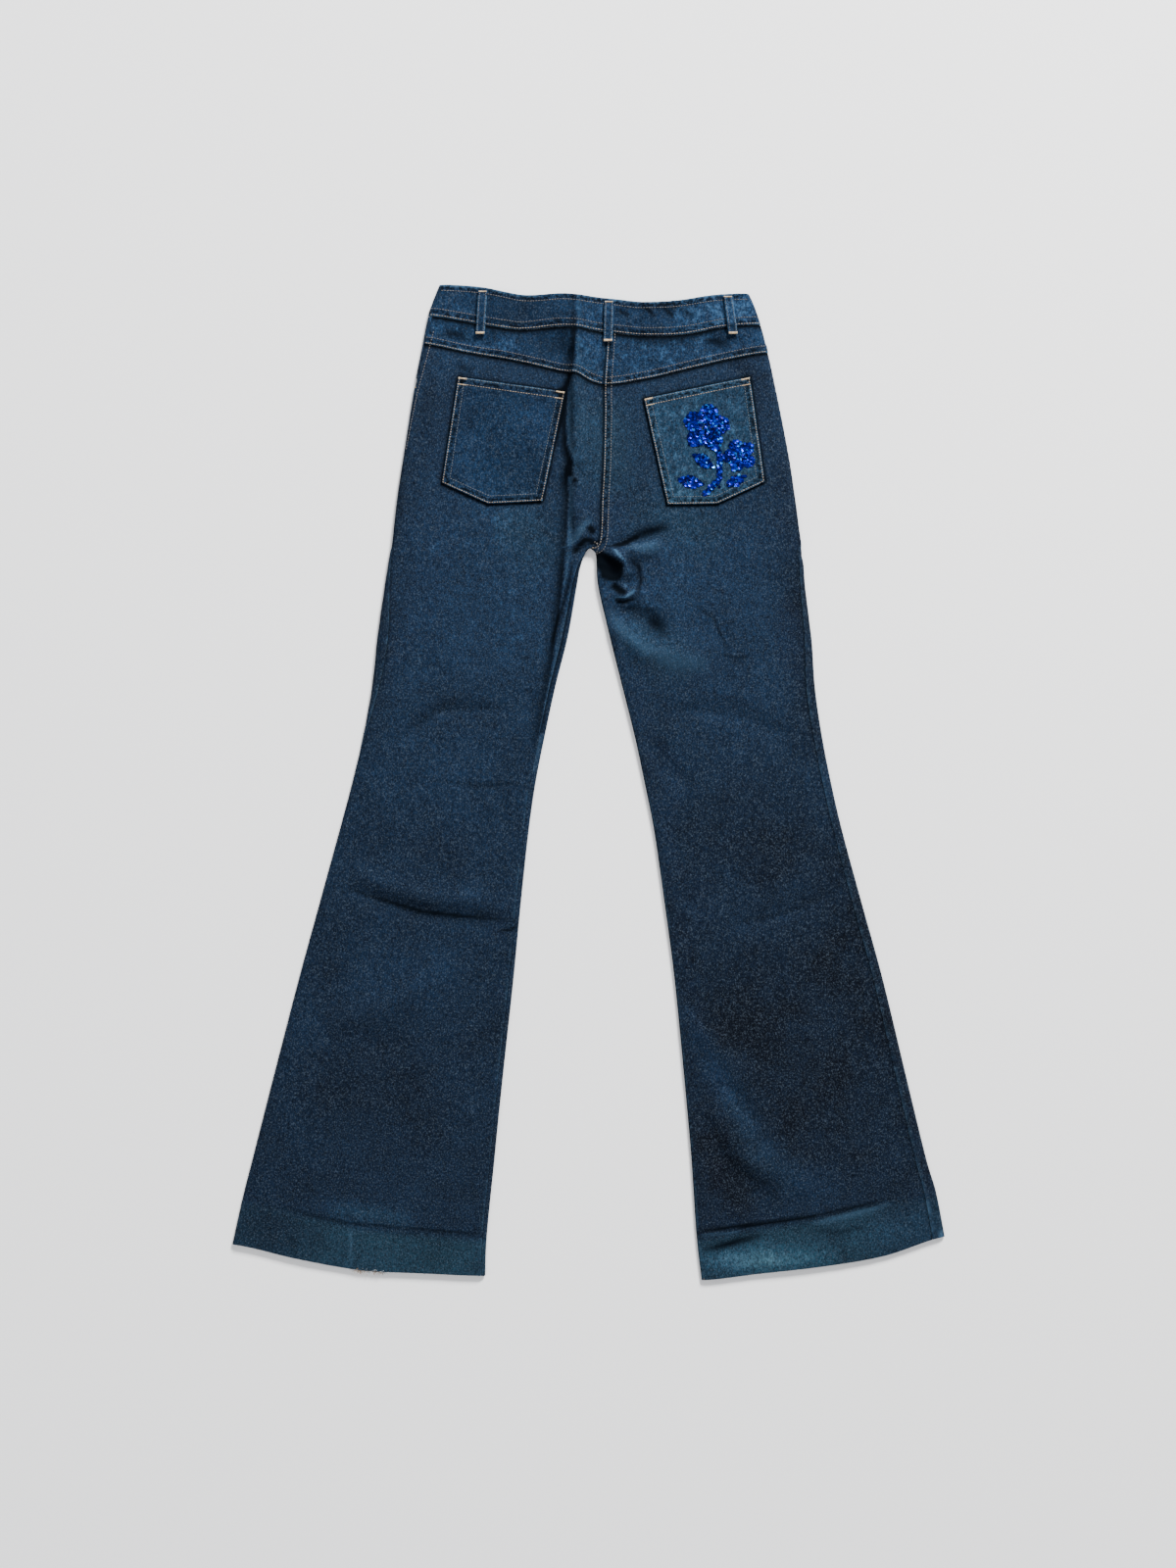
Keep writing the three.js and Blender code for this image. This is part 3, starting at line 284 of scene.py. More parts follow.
# Narrow painted marks, in the same columns. The height is plus where the cloth is painted pale: painted
# highlight on ridges, rims and the brows of folds, and a few rubbed marks at the hems. It is minus for
# painted shade in holes, creases and the depth of folds, and under raised edges and loops.
MARKS = {
    "yoke_shade": [-60, 508, -40, 503, -24, 500, -0.45, 9],
    "tuck_hole": [-23, 362, -22, 355, -21, 348, -2.6, 3],
    "tuck_hole_top": [-18, 344, -15, 343, -12, 344, -1.6, 2.2],
    "left_loop_shade": [-167, 513, -150, 511, -135, 506, -0.8, 6],
    "left_corner_shade": [-152, 478, -144, 473, -132, 468, -0.5, 6],
    "right_loop_shade": [132, 505, 146, 503, 162, 500, -0.9, 6],
    "band_shade_right": [40, 503, 80, 502, 125, 503, -0.35, 6],
    "band_gather_a": [30, 541, 38, 536, 50, 533, -0.9, 2.6],
    "band_gather_b": [62, 543, 70, 537, 76, 530, -1.2, 2.4],
    "band_gather_c": [84, 542, 92, 536, 98, 529, -1.2, 2.4],
    "band_gather_d": [106, 541, 113, 535, 124, 532, -1, 2.4],
    "fork_well": [0, 292, 3, 288, 6, 283, -2.6, 3],
    "fork_well_low": [-8, 276, 1, 275, 12, 271, -2.4, 3],
    "fork_shoulder": [-18, 260, -12, 268, -6, 274, -1.8, 3.2],
    "fork_pale": [-19, 268, -11, 285, 4, 299, 0.16, 5],
    "crotch_hole_a": [10, 262, 25, 252, 40, 244, -2.6, 4],
    "crotch_hole_b": [12, 250, 24, 241, 40, 238, -2.8, 5.2],
    "crotch_hole_rim": [26, 270, 33, 260, 45, 247, 0.6, 1.4],
    "swirl_hole_shade": [27, 225, 34, 219, 43, 214, -2.8, 3.4],
    "swirl_ring_highlight": [28, 211, 41, 209.5, 56, 220, 0.5, 1.3],
    "swirl_side_highlight": [40, 227, 42, 221, 40, 215, 0.3, 1.2],
    "swirl_under_shade": [30, 206, 41, 205, 53, 208.5, -1.8, 1.8],
    "swirl_arc_shade": [57, 248, 60, 230, 55, 211, -0.9, 2.8],
    "slit_shade": [25, 268, 40, 272, 58, 281, -2.6, 2.2],
    "slit_shade_end": [50, 277, 68, 286, 92, 291, -0.9, 6],
    "slit_lip_highlight": [40, 265, 60, 267, 82, 269, 0.14, 7],
    "thigh_hollow_shade": [44, 195, 66, 191, 90, 174, -0.6, 10],
    "thigh_hollow_low": [66, 184, 78, 177, 90, 165, -0.5, 9],
    "thigh_ridge_highlight": [22, 196, 42, 168, 70, 146, 0.13, 7],
    "thigh_ridge_highlight_low": [60, 150, 90, 138, 140, 132, 0.12, 9],
    "thigh_curve_a": [117, 204, 143, 186, 160, 147, -0.7, 2.2],
    "thigh_curve_b": [150, 146, 170, 141, 184, 142, -0.7, 2.2],
    "thigh_curve_c": [92, 84, 160, 80, 228, 60, -0.35, 3.6],
    "left_knee_line": [-235, 41, -169, 84, -96, 84, -0.35, 4],
    "left_knee_line_low": [-176, 1, -126, -6, -78, -2, -0.35, 3.4],
    "storage_line_left": [-281, -122, -191, -149, -78, -161, -0.85, 2.2],
    "storage_shade_left": [-250, -134, -180, -152, -100, -164, -0.5, 7],
    "storage_notch": [-102, -170, -92, -170, -80, -168, -1.2, 1.8],
    "storage_line_right": [162, -164, 223, -150, 279, -127, -0.4, 3],
    "hem_line_left": [-352, -487, -275, -506, -200, -511, -0.7, 2],
    "hem_line_left_end": [-210, -511, -165, -515, -118, -519, -0.8, 2],
    "hem_upright_left": [-273, -507, -272, -530, -272, -556, 0.16, 1.2],
    "hem_upright_star": [-277, -506, -273, -507, -269, -508, 0.4, 1.6],
    "hem_line_right": [124, -515, 206, -505, 262, -497, -1.5, 2.4],
    "hem_line_right_end": [250, -499, 296, -489, 340, -479, -0.9, 2.2],
    "hem_pale_right": [126, -519, 150, -516, 176, -513, 0.22, 2],
    "hem_pale_right_end": [254, -507, 296, -496, 345, -483, 0.14, 4],
    "hem_wedge_right": [130, -537, 160, -529, 200, -518, -1, 4.2],
    "hem_crease_right": [251, -513, 288, -516, 318, -508, -0.45, 3.4],
    "side_wear_right": [400, -512, 403, -520, 405, -528, 0.4, 2],
    "side_wear_right_top": [385, -478, 388, -488, 392, -498, 0.2, 2],
    "yoke_shade_low": [-20, 468, -26, 452, -38, 440, -0.6, 4],
    "crotch_hole_c": [13, 238, 26, 234, 37, 236, -2.6, 4.6],
    "crotch_hole_edge": [8, 261, 12, 250, 20, 231, -1.6, 3],
    "hole_side_shade": [42, 262, 52, 252, 58, 238, -0.6, 6],
    "inner_edge_shade": [-17, 256, -25, 218, -42, 156, -0.9, 2.4],
    "inseam_pale": [-21, 256, -30, 216, -47, 156, 0.14, 1.3],
}
# The crisp edge where the cloth right of the tuck stands over the cloth left of it, from the
# inseam up to the band. Each row: y, x, and how dark the painted shadow on the lower cloth beside it is.
TUCK_EDGE = [
    (10, -66, 0),
    (55, -57, 0.6),
    (140, -41, 0.85),
    (205, -32, 0.95),
    (245, -28, 0.95),
    (280, -25, 0.85),
    (320, -23, 0.85),
    (347, -24, 1.1),
    (361, -19, 1.3),
    (367, -19, 1.3),
    (385, -25, 1.05),
    (410, -26, 0.95),
    (445, -24, 0.7),
    (466, -19, 0.45),
    (480, -16, 0.9),
    (505, -15, 1),
    (530, -15, 0.5),
]
TUCK_SHADE = 9  # how far the shadow beside that edge reaches
TUCK_BROW_HIGHLIGHT = 0.08  # painted highlight: how pale the edge's brow is painted
# Greener cloth, in the same columns. The height is the share of the let-down hem's colour.
GREENISH = {
    "beside_the_back_seam": [20, 440, 24, 380, 26, 320, 0.35, 26],
    "tuck_side": [-8, 500, -10, 420, -12, 330, 0.2, 14],
    "right_seat": [40, 300, 100, 300, 160, 280, 0.25, 30],
    "left_seat": [-110, 290, -70, 290, -40, 240, 0.25, 30],
    "right_thigh": [40, 190, 70, 160, 120, 120, 0.25, 26],
    "above_left_hem": [-300, -492, -250, -496, -200, -504, 0.3, 10],
    "above_right_hem": [150, -350, 190, -430, 240, -460, 0.12, 18],
}
FLY_PAD = {"x": -4, "y": 450, "half_width": 18, "half_length": 90, "fade": 26, "height": 2.4}

# The tuck draws the yoke seam up beside it
TUCK_STEP = {"x": -14, "y": 466, "width": 12, "length": 24, "rise": 3.2}

# Back patch pockets: top outer, top inner, bottom inner, point and bottom outer corners
POCKET_CORNERS = {
    "left": [(-149, 462), (-27, 445), (-53, 320), (-115, 317), (-168, 341)],
    "right": [(184, 462), (63, 437), (90, 316), (147, 317), (201, 342)],
}
POCKET_LENGTH = 122  # of its upright sides
POCKET_HEM = 13
POCKET_HEM_RISE = 0.8
# How much paler and greener the pockets are than the leg around them
POCKET_TONE = {"left": {"fade": -0.04}, "right": {"fade": 0.1, "let_down": 0.35}}

# Belt loops: x, y of the top and of the bottom end
LOOP_WIDTH = 10.5
LOOP_ARCH = 1.4
BACK_LOOPS = {
    "back_left": (-121, 561, -124, 510),
    "back_centre": (23, 549, 22, 501),
    "back_right": (159, 555, 165, 510),
}
FRONT_LOOPS = {"front_left": -98, "front_right": 74}
FRONT_LOOP_LENGTH = 32
FRONT_LOOP_CLOTH = 1.6

# Front pocket openings, fly, zip and button
SCOOP_WIDTH = 100
FACING_UNDERLAP = 22
BAND_OVERLAP = 15
BAND_UNDERLAP = 22
UNDERLAP_RAMP = 34
BUTTON_RADIUS = 8.5
BUTTON_HEIGHT = 2.2
ZIP_WIDTH = 26
ZIP_TOP = 484
ZIP_BOTTOM = 352
SLIDER_Y = 470
SLIDER_HALF_WIDTH = 4
SLIDER_HALF_LENGTH = 6.5
SLIDER_HEIGHT = 1.4
SHIELD_WIDTH = 44
SHIELD_BOTTOM = 346
SHIELD_GAP = 0.45
TAPE_UNDERSIDE = CLOTH + SEAM_GAP
TOOTH_PITCH = 1.5
TOOTH_PROUD = 0.12
# The button's head: radius and height round its profile
BUTTON_PROFILE = [
    (0.3, 0.5), (3.4, 0.5), (3.8, 0.15), (4.6, 0.1), (5, 0.4), (6.6, 0.4), (7, 0),
    (7.9, 0), (8.4, 0.3), (8.5, 0.8), (8.5, 1.7), (7.3, 2.2), (0.3, 2.2), (0.3, 0.5),
]

# Sewing: size of the stitches, and how far each row lies from its edge
STITCH_PITCH = 3.1
STITCH_LENGTH = 2.5
THREAD_WIDTH = 0.85
UNDER_SINK = 0.25  # how much deeper the stitches under the part are drawn in
EDGE_ROW = 1.4
ROW_GAP = 6.6
BAND_EDGE_ROW = 1.8
BAND_INNER_ROW = 9
BAND_TOP_ROW = 7
POCKET_EDGE_ROW = 1.3
POCKET_INNER_ROW = 8.6
POCKET_HEM_ROW = 8
FLY_ROW = 34
TACK_PITCH = 0.75
SIDE_TACK = (-199, 454)

# The blooms: x, y, radius, petals and turn. The leaves: x, y, length, half width and turn.
BLOOMS = [(134, 404, 27, 5, 10), (172, 372, 19, 5, 40)]
LEAVES = [(131, 366, 17, 6.5, 150), (116, 342, 18, 6.5, 170), (168, 343, 16, 6, 30)]
STEM = [(134, 404), (150, 372), (149, 345), (133, 328)]
STEM_WIDTH = 5.5
SEQUIN_RADIUS = 1.7
SEQUIN_SPACING = 2.05
SEQUIN_SIDES = 8
SEQUIN_TILT = 0.22
SEQUIN_SHIFT = 0.35  # how far a sequin may lie from its place in the rows
MOTIF_X = (95, 200)
MOTIF_Y = (320, 435)

# Loose threads of the hems: how many, and their darkest and lightest colour
FRAY_THREADS = {
    "fray_white": (190, (168, 178, 184), (226, 230, 230)),
    "fray_brown": (130, (128, 92, 60), (176, 138, 98)),
}
FRAYED_STRETCH = (-271, -233)
STRETCH_COUNT = 90

# Places down the leg, as shares of a section, where pieces end beside the band, yoke and pocket
BAND_GAP = 0.005
YOKE_GAP = 0.006
YOKE_BELOW_BAND = 0.015
FRONT_BELOW_BAND = 0.035
FACING_ABOVE_POCKET = 0.12
SEWN_BELOW_BAND = 0.05

# Spacing of the grids, and their folded rims
BACK_STEP = 2.6
POCKET_STEP = 2.6
FRONT_STEP = 4.5
EDGE_STEPS = np.array([0, 0.25, 0.6, 1.3])
RIM_RADIUS = 0.55
ALL_RIMS = ["top", "start", "end", "bottom"]
UNDER_END = ARC_PER_ROLL * UNDER_ROLL  # cloth from the outermost line to the front's flat

# Slack of the cloth: height, size and offset of each noise
SLACK = [(0.34, 46, 0), (0.2, 21, 17), (0.08, 9, 31)]
SEED = 7

# Floor in millimetres, lights and camera in metres. Each light: power, size, place and aim.
FLOOR_HALF_SIDE = 6000
FLOOR_Z = -0.3
FLOOR_COLOUR = (0.94, 0.94, 0.94)
LIGHTS = {
    "key": (1150, 1.5, (2.2, 4.6, 2.9), (0, 0.1, 0)),
    "fill": (60, 3, (-1.6, -1.4, 3.4), (0, -0.1, 0)),
}
SKY_COLOUR = (0.92, 0.94, 1)
SKY_STRENGTH = 0.55
PHOTO_LONG_SIDE = 1.792
VIEW_CENTRE = (-0.0013, -0.0016)
TOP_OF_CLOTH = 0.007
LENS = 50
SENSOR = 36

RAY_START = 0.05  # height in metres from which places on the cloth are looked for


def lerp(a, b, t):
    return a + (b - a) * t


def smooth(t):
    t = np.clip(t, 0, 1)
    return t * t * (3 - 2 * t)


def to_frame(points):
    return (np.asarray(points, float) + CENTRE) * MM


# The form, as in the part's source

SECTION_NAMES = list(SECTIONS)
LAST = len(SECTION_NAMES) - 1
station = SECTION_NAMES.index


def columns_of(names, table):
    rows = np.array(list(table.values()), float)
    return {name: rows[:, i] for i, name in enumerate(names)}


section = columns_of(SECTION_COLUMNS, SECTIONS)
halves = {"left": columns_of(HALF_COLUMNS, LEFT_HALF), "right": columns_of(HALF_COLUMNS, RIGHT_HALF)}


def pick(values, i):
    if values.ndim == 1:
        return values[i]
    return np.take_along_axis(values, i[None], axis=0)[0]


def through(values, s):
    """Smooth curve through evenly numbered values, or stacks of values, at places s."""
    last = len(values) - 1
    i = np.clip(np.floor(s).astype(int), 0, last - 1)
    t = s - i
    a, b, c, d = (pick(values, np.clip(i + k, 0, last)) for k in (-1, 0, 1, 2))
    slope_b = (c - a) / 2
    slope_c = (d - b) / 2
    bend = 3 * (c - b) - 2 * slope_b - slope_c
    twist = 2 * (b - c) + slope_b + slope_c
    return b + t * (slope_b + t * (bend + t * twist))


def section_at(side, s):
    at = {name: through(halves[side][name], s) for name in HALF_COLUMNS}
    at["ys"] = np.stack([at[f"y_{k}"] for k in range(5)])
    at["dip"] = through(section["dip"], s)
    at["loft"] = through(section["loft"], s)
    at["inward"] = 1 if side == "left" else -1
    at["closed"] = smooth((s - station("fork")) / CLOSING)
    at["back_width"] = np.abs(at["inner"] - at["outer"])
    at["front_width"] = np.abs(at["front"] - at["outer"])
    return at


def from_segment(start, end, x, y):
    """Distance from the line between two points, and how far along it, 0 to 1."""
    (ax, ay), (bx, by) = start, end
    dx, dy = bx - ax, by - ay
    t = np.clip(((x - ax) * dx + (y - ay) * dy) / (dx * dx + dy * dy), 0, 1)
    return np.hypot(x - ax - dx * t, y - ay - dy * t), t


def near_fold(points, x, y):
    """Distance from a fold's line through three points, and how far along it, 0 to 1."""
    first, second = (from_segment(a, b, x, y) for a, b in zip(points, points[1:]))
    along = np.where(second[0] < first[0], 1 + second[1], first[1]) / 2
    return np.minimum(first[0], second[0]), along


def fold_height(table, x, y):
    """Sum of a table's folds at some places. Each fades towards its ends and its sides."""
    height = np.zeros(x.shape)
    for x_0, y_0, x_1, y_1, x_2, y_2, rise, width in table.values():
        distance, along = near_fold([(x_0, y_0), (x_1, y_1), (x_2, y_2)], x, y)
        taper = np.sqrt(np.maximum(np.sin(np.pi * along), 0))
        height += rise * taper * np.exp(-((distance / width) ** 2))
    return height


def pad_share(pad, x, y):
    """1 on a pad and 0 beyond its fade."""
    over_x = np.maximum(np.abs(x - pad["x"]) - pad["half_width"], 0)
    over_y = np.maximum(np.abs(y - pad["y"]) - pad["half_length"], 0)
    return 1 - smooth(np.hypot(over_x, over_y) / pad["fade"])


# Smooth seeded noise on a lattice, for the cloth's slack
LATTICE = np.random.default_rng(SEED).uniform(-1, 1, (256, 256))


def slack(x, y, size, offset):
    """Noise from -1 to 1 whose lumps are about size across."""
    u = x / size + offset
    v = y / size + offset
    i = np.floor(u).astype(int)
    j = np.floor(v).astype(int)
    a = smooth(u - i)
    b = smooth(v - j)
    corner = [LATTICE[(i + m) % 256, (j + n) % 256] for m in (0, 1) for n in (0, 1)]
    return lerp(lerp(corner[0], corner[1], b), lerp(corner[2], corner[3], b), a)


def back_outline(at, p):
    x = at["outer"] + at["inward"] * p
    y = through(at["ys"], 4 * np.clip(p / at["back_width"], 0, 1))
    across = (x - TUCK_STEP["x"]) / TUCK_STEP["width"]
    along = (y - TUCK_STEP["y"]) / TUCK_STEP["length"]
    return x, y + TUCK_STEP["rise"] * np.exp(-(across**2) - along**2)


def front_outline(at, p):
    share = np.clip(p / at["front_width"], 0, 1)
    return at["outer"] + at["inward"] * p, through(at["ys"], 4 * share) - at["dip"] * smooth(share)


def band_middle(side, x):
    at = section_at(side, np.array([float(station("band_middle"))]))
    return float(front_outline(at, np.abs(x - at["outer"]))[1][0])


CENTRE_FRONT = LEFT_HALF["band_middle"][HALF_COLUMNS.index("front")]
BUTTON_Y = band_middle("left", CENTRE_FRONT)


def lift_pad(x, y, half_width, half_length, fade, thickness):
    """The rise of the cloth over something of that thickness, centred at x, y."""
    return {
        "x": x,
        "y": y,
        "half_width": half_width,
        "half_length": half_length,
        "fade": fade,
        "height": thickness + SEAM_GAP,
    }


def lift_pads():
    """What lies under the front of the band lifts it: the waist button and the front belt loops."""
    button = BUTTON_RADIUS + 1
    pads = [lift_pad(CENTRE_FRONT, BUTTON_Y, button, button, 10, BUTTON_HEIGHT)]
    for name, x in FRONT_LOOPS.items():
        y = band_middle(name.split("_")[1], x)
        pads.append(lift_pad(x, y, LOOP_WIDTH / 2 + 1.5, 30, 12, FRONT_LOOP_CLOTH))
    return pads


LIFT_PADS = lift_pads()


def lift(x, y):
    return np.max([pad["height"] * pad_share(pad, x, y) for pad in LIFT_PADS], axis=0)


def back_height(at, x, y):
    """Height of the back layer's outer face, with the fine folds and the cloth's slack."""
    main = at["loft"] + FLY_PAD["height"] * pad_share(FLY_PAD, x, y) + fold_height(FOLDS, x, y)
    fine = fold_height(FINE_FOLDS, x, y)
    loose = sum(height * slack(x, y, size, offset) for height, size, offset in SLACK)
    return np.maximum(main + fine + loose, LEAST_LOFT)


def under_height(x, y):
    """How far the front layer arches up off the surface."""
    return np.clip(fold_height(UNDER_FOLDS, x, y), 0, 1)


def rolled(arc, roll):
    """Distance in from a rolled edge, and how much of the way to the outermost line is left."""
    angle = np.minimum(arc / (ARC_PER_ROLL * roll), 1) * (np.pi / 2)
    beyond = np.maximum(arc - ARC_PER_ROLL * roll, 0)
    return roll * (1 - np.cos(angle)) + beyond, 1 - np.sin(angle)


def behind_left_end(x):
    return 1 - smooth((x - CENTRE_FRONT - BAND_OVERLAP - 3) / UNDERLAP_RAMP)


def band_front_rise(side, x):
    return (BAND_CLOTH + SEAM_GAP) * behind_left_end(x) if side == "right" else 0


# How a piece lies on the form: risen off the back or the front layer. The band's front is lifted.
FLUSH = {"back": 0, "front": lambda side, x: 0, "lifted": False}
IN_BAND = {"back": BAND_RISE, "front": band_front_rise, "lifted": True}
BEHIND_SCOOP = {"back": 0, "front": lambda side, x: CLOTH + SEAM_GAP, "lifted": False}


def cloth_width(at, layer):
    """Width of one layer along the cloth, from the outer to the inner line."""
    if layer == "back":
        return at["back_width"] + (ARC_PER_ROLL - 1) * (OUTER_ROLL + INNER_ROLL)
    return at["front_width"] + 2 * (ARC_PER_ROLL - 1) * UNDER_ROLL


def on_form(side, s, c, layer="back", lie=FLUSH):
    """Points of the form. c is measured along the cloth from the outermost line over that layer."""
    at = section_at(side, s)
    width = cloth_width(at, layer)
    from_outer = c < width / 2
    arc = np.where(from_outer, c, width - c)
    on_back = (arc >= 0) == (layer == "back")
    outer_in, outer_turn = rolled(np.abs(arc), np.where(on_back, OUTER_ROLL, UNDER_ROLL))
    inner_in, inner_turn = rolled(np.abs(arc), np.where(on_back, INNER_ROLL, UNDER_ROLL))
    span = np.where(on_back, at["back_width"], at["front_width"])
    p = np.where(from_outer, outer_in, span - inner_in)
    back_x, back_y = back_outline(at, p)
    front_x, front_y = front_outline(at, p)
    x = np.where(on_back, back_x, front_x)
    y = np.where(on_back, back_y, front_y)
    under = np.where(on_back | lie["lifted"], lift(x, y), 0)
    flat_back = back_height(at, x, y) + lie["back"]
    flat_front = lie["front"](side, x) + under_height(x, y)
    flat = under + np.where(on_back, flat_back, flat_front)
    turn = np.where(from_outer, outer_turn, inner_turn * at["closed"])
    z = lerp(flat, EDGE_SHARE * at["loft"] + under, turn)
    return np.stack([x, y, z], axis=-1)


# Grids of places


def stops(start, end, step):
    """Places from start to end, close together at both ends, one row for each start."""
    start, end = np.broadcast_arrays(np.asarray(start, float), np.asarray(end, float))
    count = max(int(np.ceil((np.max(end - start) - 2 * EDGE_STEPS[-1]) / step)), 1)
    middle = np.linspace(0, 1, count + 1)[1:-1]
    low, high = start + EDGE_STEPS[-1], end - EDGE_STEPS[-1]
    columns = [start + d for d in EDGE_STEPS]
    columns += [lerp(low, high, t) for t in middle]
    columns += [end - d for d in EDGE_STEPS[::-1]]
    return np.stack(columns, axis=-1)


def down_from_waist(side, s):
    """Distance of a place s below the waist, down the middle of the back."""
    return section_at(side, np.asarray(s, float))["y_2"]


def row_stops(side, start, end, step):
    """Places s of rows from one place to another, a step apart down the leg."""
    fine = np.linspace(start, end, 600)
    down = down_from_waist(side, fine)[0] - down_from_waist(side, fine)
    return np.interp(stops(0, down[-1], step), down, fine)


def grid_normals(points, facing):
    """Normals of a grid's faces at its points, on the side where facing's sign says."""
    along = np.gradient(points, axis=0)
    across = np.gradient(points, axis=1)
    normal = np.cross(along, across)
    normal /= np.maximum(np.linalg.norm(normal, axis=2, keepdims=True), 1e-9)
    middle = normal[:, points.shape[1] // 2, 2]
    return normal if middle.mean() * facing > 0 else -normal


def edge_distances(points):
    """Distance of each grid point from the grid's first row, last row, first and last column."""
    down = np.linalg.norm(np.diff(points, axis=0), axis=2)
    over = np.linalg.norm(np.diff(points, axis=1), axis=2)
    top = np.concatenate([np.zeros((1, points.shape[1])), np.cumsum(down, axis=0)])
    left = np.concatenate([np.zeros((points.shape[0], 1)), np.cumsum(over, axis=1)], axis=1)
    return {"top": top, "bottom": top[-1:] - top, "start": left, "end": left[:, -1:] - left}


# Meshes


def mesh_object(name, points, faces, smooth_faces=None, materials=(), slots=None):
    """An object of points in millimetres and quads or triangles."""
    mesh = bpy.data.meshes.new(name)
    faces = np.asarray(faces, np.int32)
    corners = faces.shape[1]
    mesh.vertices.add(len(points))
    mesh.vertices.foreach_set("co", to_frame(points).astype(np.float32).ravel())
    mesh.loops.add(faces.size)
    mesh.loops.foreach_set("vertex_index", faces.ravel())
    mesh.polygons.add(len(faces))
    mesh.polygons.foreach_set("loop_start", np.arange(0, faces.size, corners, dtype=np.int32))
    if smooth_faces is None:
        smooth_faces = np.ones(len(faces), bool)
    mesh.polygons.foreach_set("use_smooth", smooth_faces)
    for material in materials:
        mesh.materials.append(material)
    if slots is not None:
        mesh.polygons.foreach_set("material_index", np.asarray(slots, np.int32))
    mesh.update(calc_edges=True)
    mesh.validate()
    obj = bpy.data.objects.new(name, mesh)
    bpy.context.scene.collection.objects.link(obj)
    return obj


def add_values(obj, **values):
    """Named numbers for the materials, one for each vertex."""
    for name, numbers in values.items():
        layer = obj.data.attributes.new(name, "FLOAT", "POINT")
        layer.data.foreach_set("value", np.asarray(numbers, np.float32).ravel())


def wall(name, points, thickness, facing, materials, rims, radius):
    """A closed shell from the grid of its outer face, with rounded rims where the cloth is folded."""
    normals = grid_normals(points, facing)
    distances = edge_distances(points)
    pull = np.zeros(points.shape[:2])
    for rim in rims:
        near = np.clip(1 - distances[rim] / radius, 0, 1)
        pull = np.maximum(pull, radius * (1 - np.sqrt(1 - near**2)))
    outer = points - normals * pull[..., None]
    inner = points - normals * (thickness - pull)[..., None]
    rows, columns = points.shape[:2]
    index = np.arange(rows * columns).reshape(rows, columns)
    a, b = index[:-1, :-1].ravel(), index[:-1, 1:].ravel()
    c, d = index[1:, 1:].ravel(), index[1:, :-1].ravel()
    border = np.concatenate([index[0, :-1], index[:-1, -1], index[-1, :0:-1], index[:0:-1, 0]])
    far = rows * columns
    onward = np.roll(border, -1)
    faces = np.concatenate(
        [
            np.stack([a, b, c, d], axis=1),
            np.stack([d, c, b, a], axis=1) + far,
            np.stack([onward, border, border + far, onward + far], axis=1),
        ]
    )
    upward = np.cross(points[1, 0] - points[0, 0], points[0, 1] - points[0, 0])
    if np.dot(upward, normals[0, 0]) > 0:
        faces = faces[:, ::-1]
    rim_faces = np.arange(len(faces)) >= 2 * len(a)
    inside = (np.arange(len(faces)) >= len(a)).astype(int) - rim_faces
    both = np.concatenate([outer.reshape(-1, 3), inner.reshape(-1, 3)])
    both[:, 2] = np.maximum(both[:, 2], 0)
    return mesh_object(name, both, faces, ~rim_faces, materials, inside)


# Materials


def fill_inputs(tree, node, inputs):
    """Sets a node's inputs to numbers, colours or vectors, or links other nodes' outputs to them."""
    for name, value in inputs.items():
        socket = node.inputs[name]
        if isinstance(value, bpy.types.NodeSocket):
            tree.links.new(value, socket)
        elif socket.type == "RGBA":
            socket.default_value = (*value, 1)
        else:
            socket.default_value = value


def add_node(tree, kind, inputs, **settings):
    """A node with its settings, and its inputs filled."""
    node = tree.nodes.new(kind)
    for key, value in settings.items():
        setattr(node, key, value)
    fill_inputs(tree, node, inputs)
    return node


def make_material(name):
    material = bpy.data.materials.new(name)
    material.use_nodes = True
    tree = material.node_tree
    return material, tree, tree.nodes["Principled BSDF"]


def scaled_coordinates(tree, scale, angle=0):
    place = add_node(tree, "ShaderNodeTexCoord", {}).outputs["Object"]
    inputs = {"Vector": place, "Scale": scale, "Rotation": (0, 0, angle)}
    return add_node(tree, "ShaderNodeMapping", inputs).outputs["Vector"]


def noise(tree, scale, detail=2, roughness=0.6, angle=0):
    """Noise whose lumps are about 1/scale metres across, along each axis."""
    place = scaled_coordinates(tree, scale, angle)
    inputs = {"Vector": place, "Scale": 1, "Detail": detail, "Roughness": roughness}
    return add_node(tree, "ShaderNodeTexNoise", inputs).outputs["Fac"]


def ramp(tree, source, *levels):
    """Turns a value into a colour, or a grey, through (place, colour) pairs."""
    node = add_node(tree, "ShaderNodeValToRGB", {"Fac": source})
    elements = node.color_ramp.elements
    while len(elements) < len(levels):
        elements.new(0.5)
    for element, (place, colour) in zip(elements, levels):
        element.position = place
        element.color = (*np.broadcast_to(colour, 3).tolist(), 1)
    return node.outputs["Color"]


def attribute(tree, name):
    return add_node(tree, "ShaderNodeAttribute", {}, attribute_name=name).outputs["Fac"]


def math_node(tree, operation, a, b):
    return add_node(tree, "ShaderNodeMath", {0: a, 1: b}, operation=operation).outputs["Value"]


def mix(tree, share, a, b, blend="MIX"):
    inputs = {0: share, 6: a, 7: b}
    return add_node(tree, "ShaderNodeMix", inputs, data_type="RGBA", blend_type=blend).outputs[2]


def multiplied(tree, colour, shade):
    return mix(tree, 1, colour, shade, "MULTIPLY")


def bump(tree, height, strength, distance, normal=None):
    inputs = {"Height": height, "Strength": strength, "Distance": distance}
    if normal is not None:
        inputs["Normal"] = normal
    return add_node(tree, "ShaderNodeBump", inputs).outputs["Normal"]


def srgb(red, green, blue):
    """A colour given in sRGB levels from 0 to 255, as linear light."""
    levels = [value / 255 for value in (red, green, blue)]
    return tuple(v / 12.92 if v <= 0.04045 else ((v + 0.055) / 1.055) ** 2.4 for v in levels)


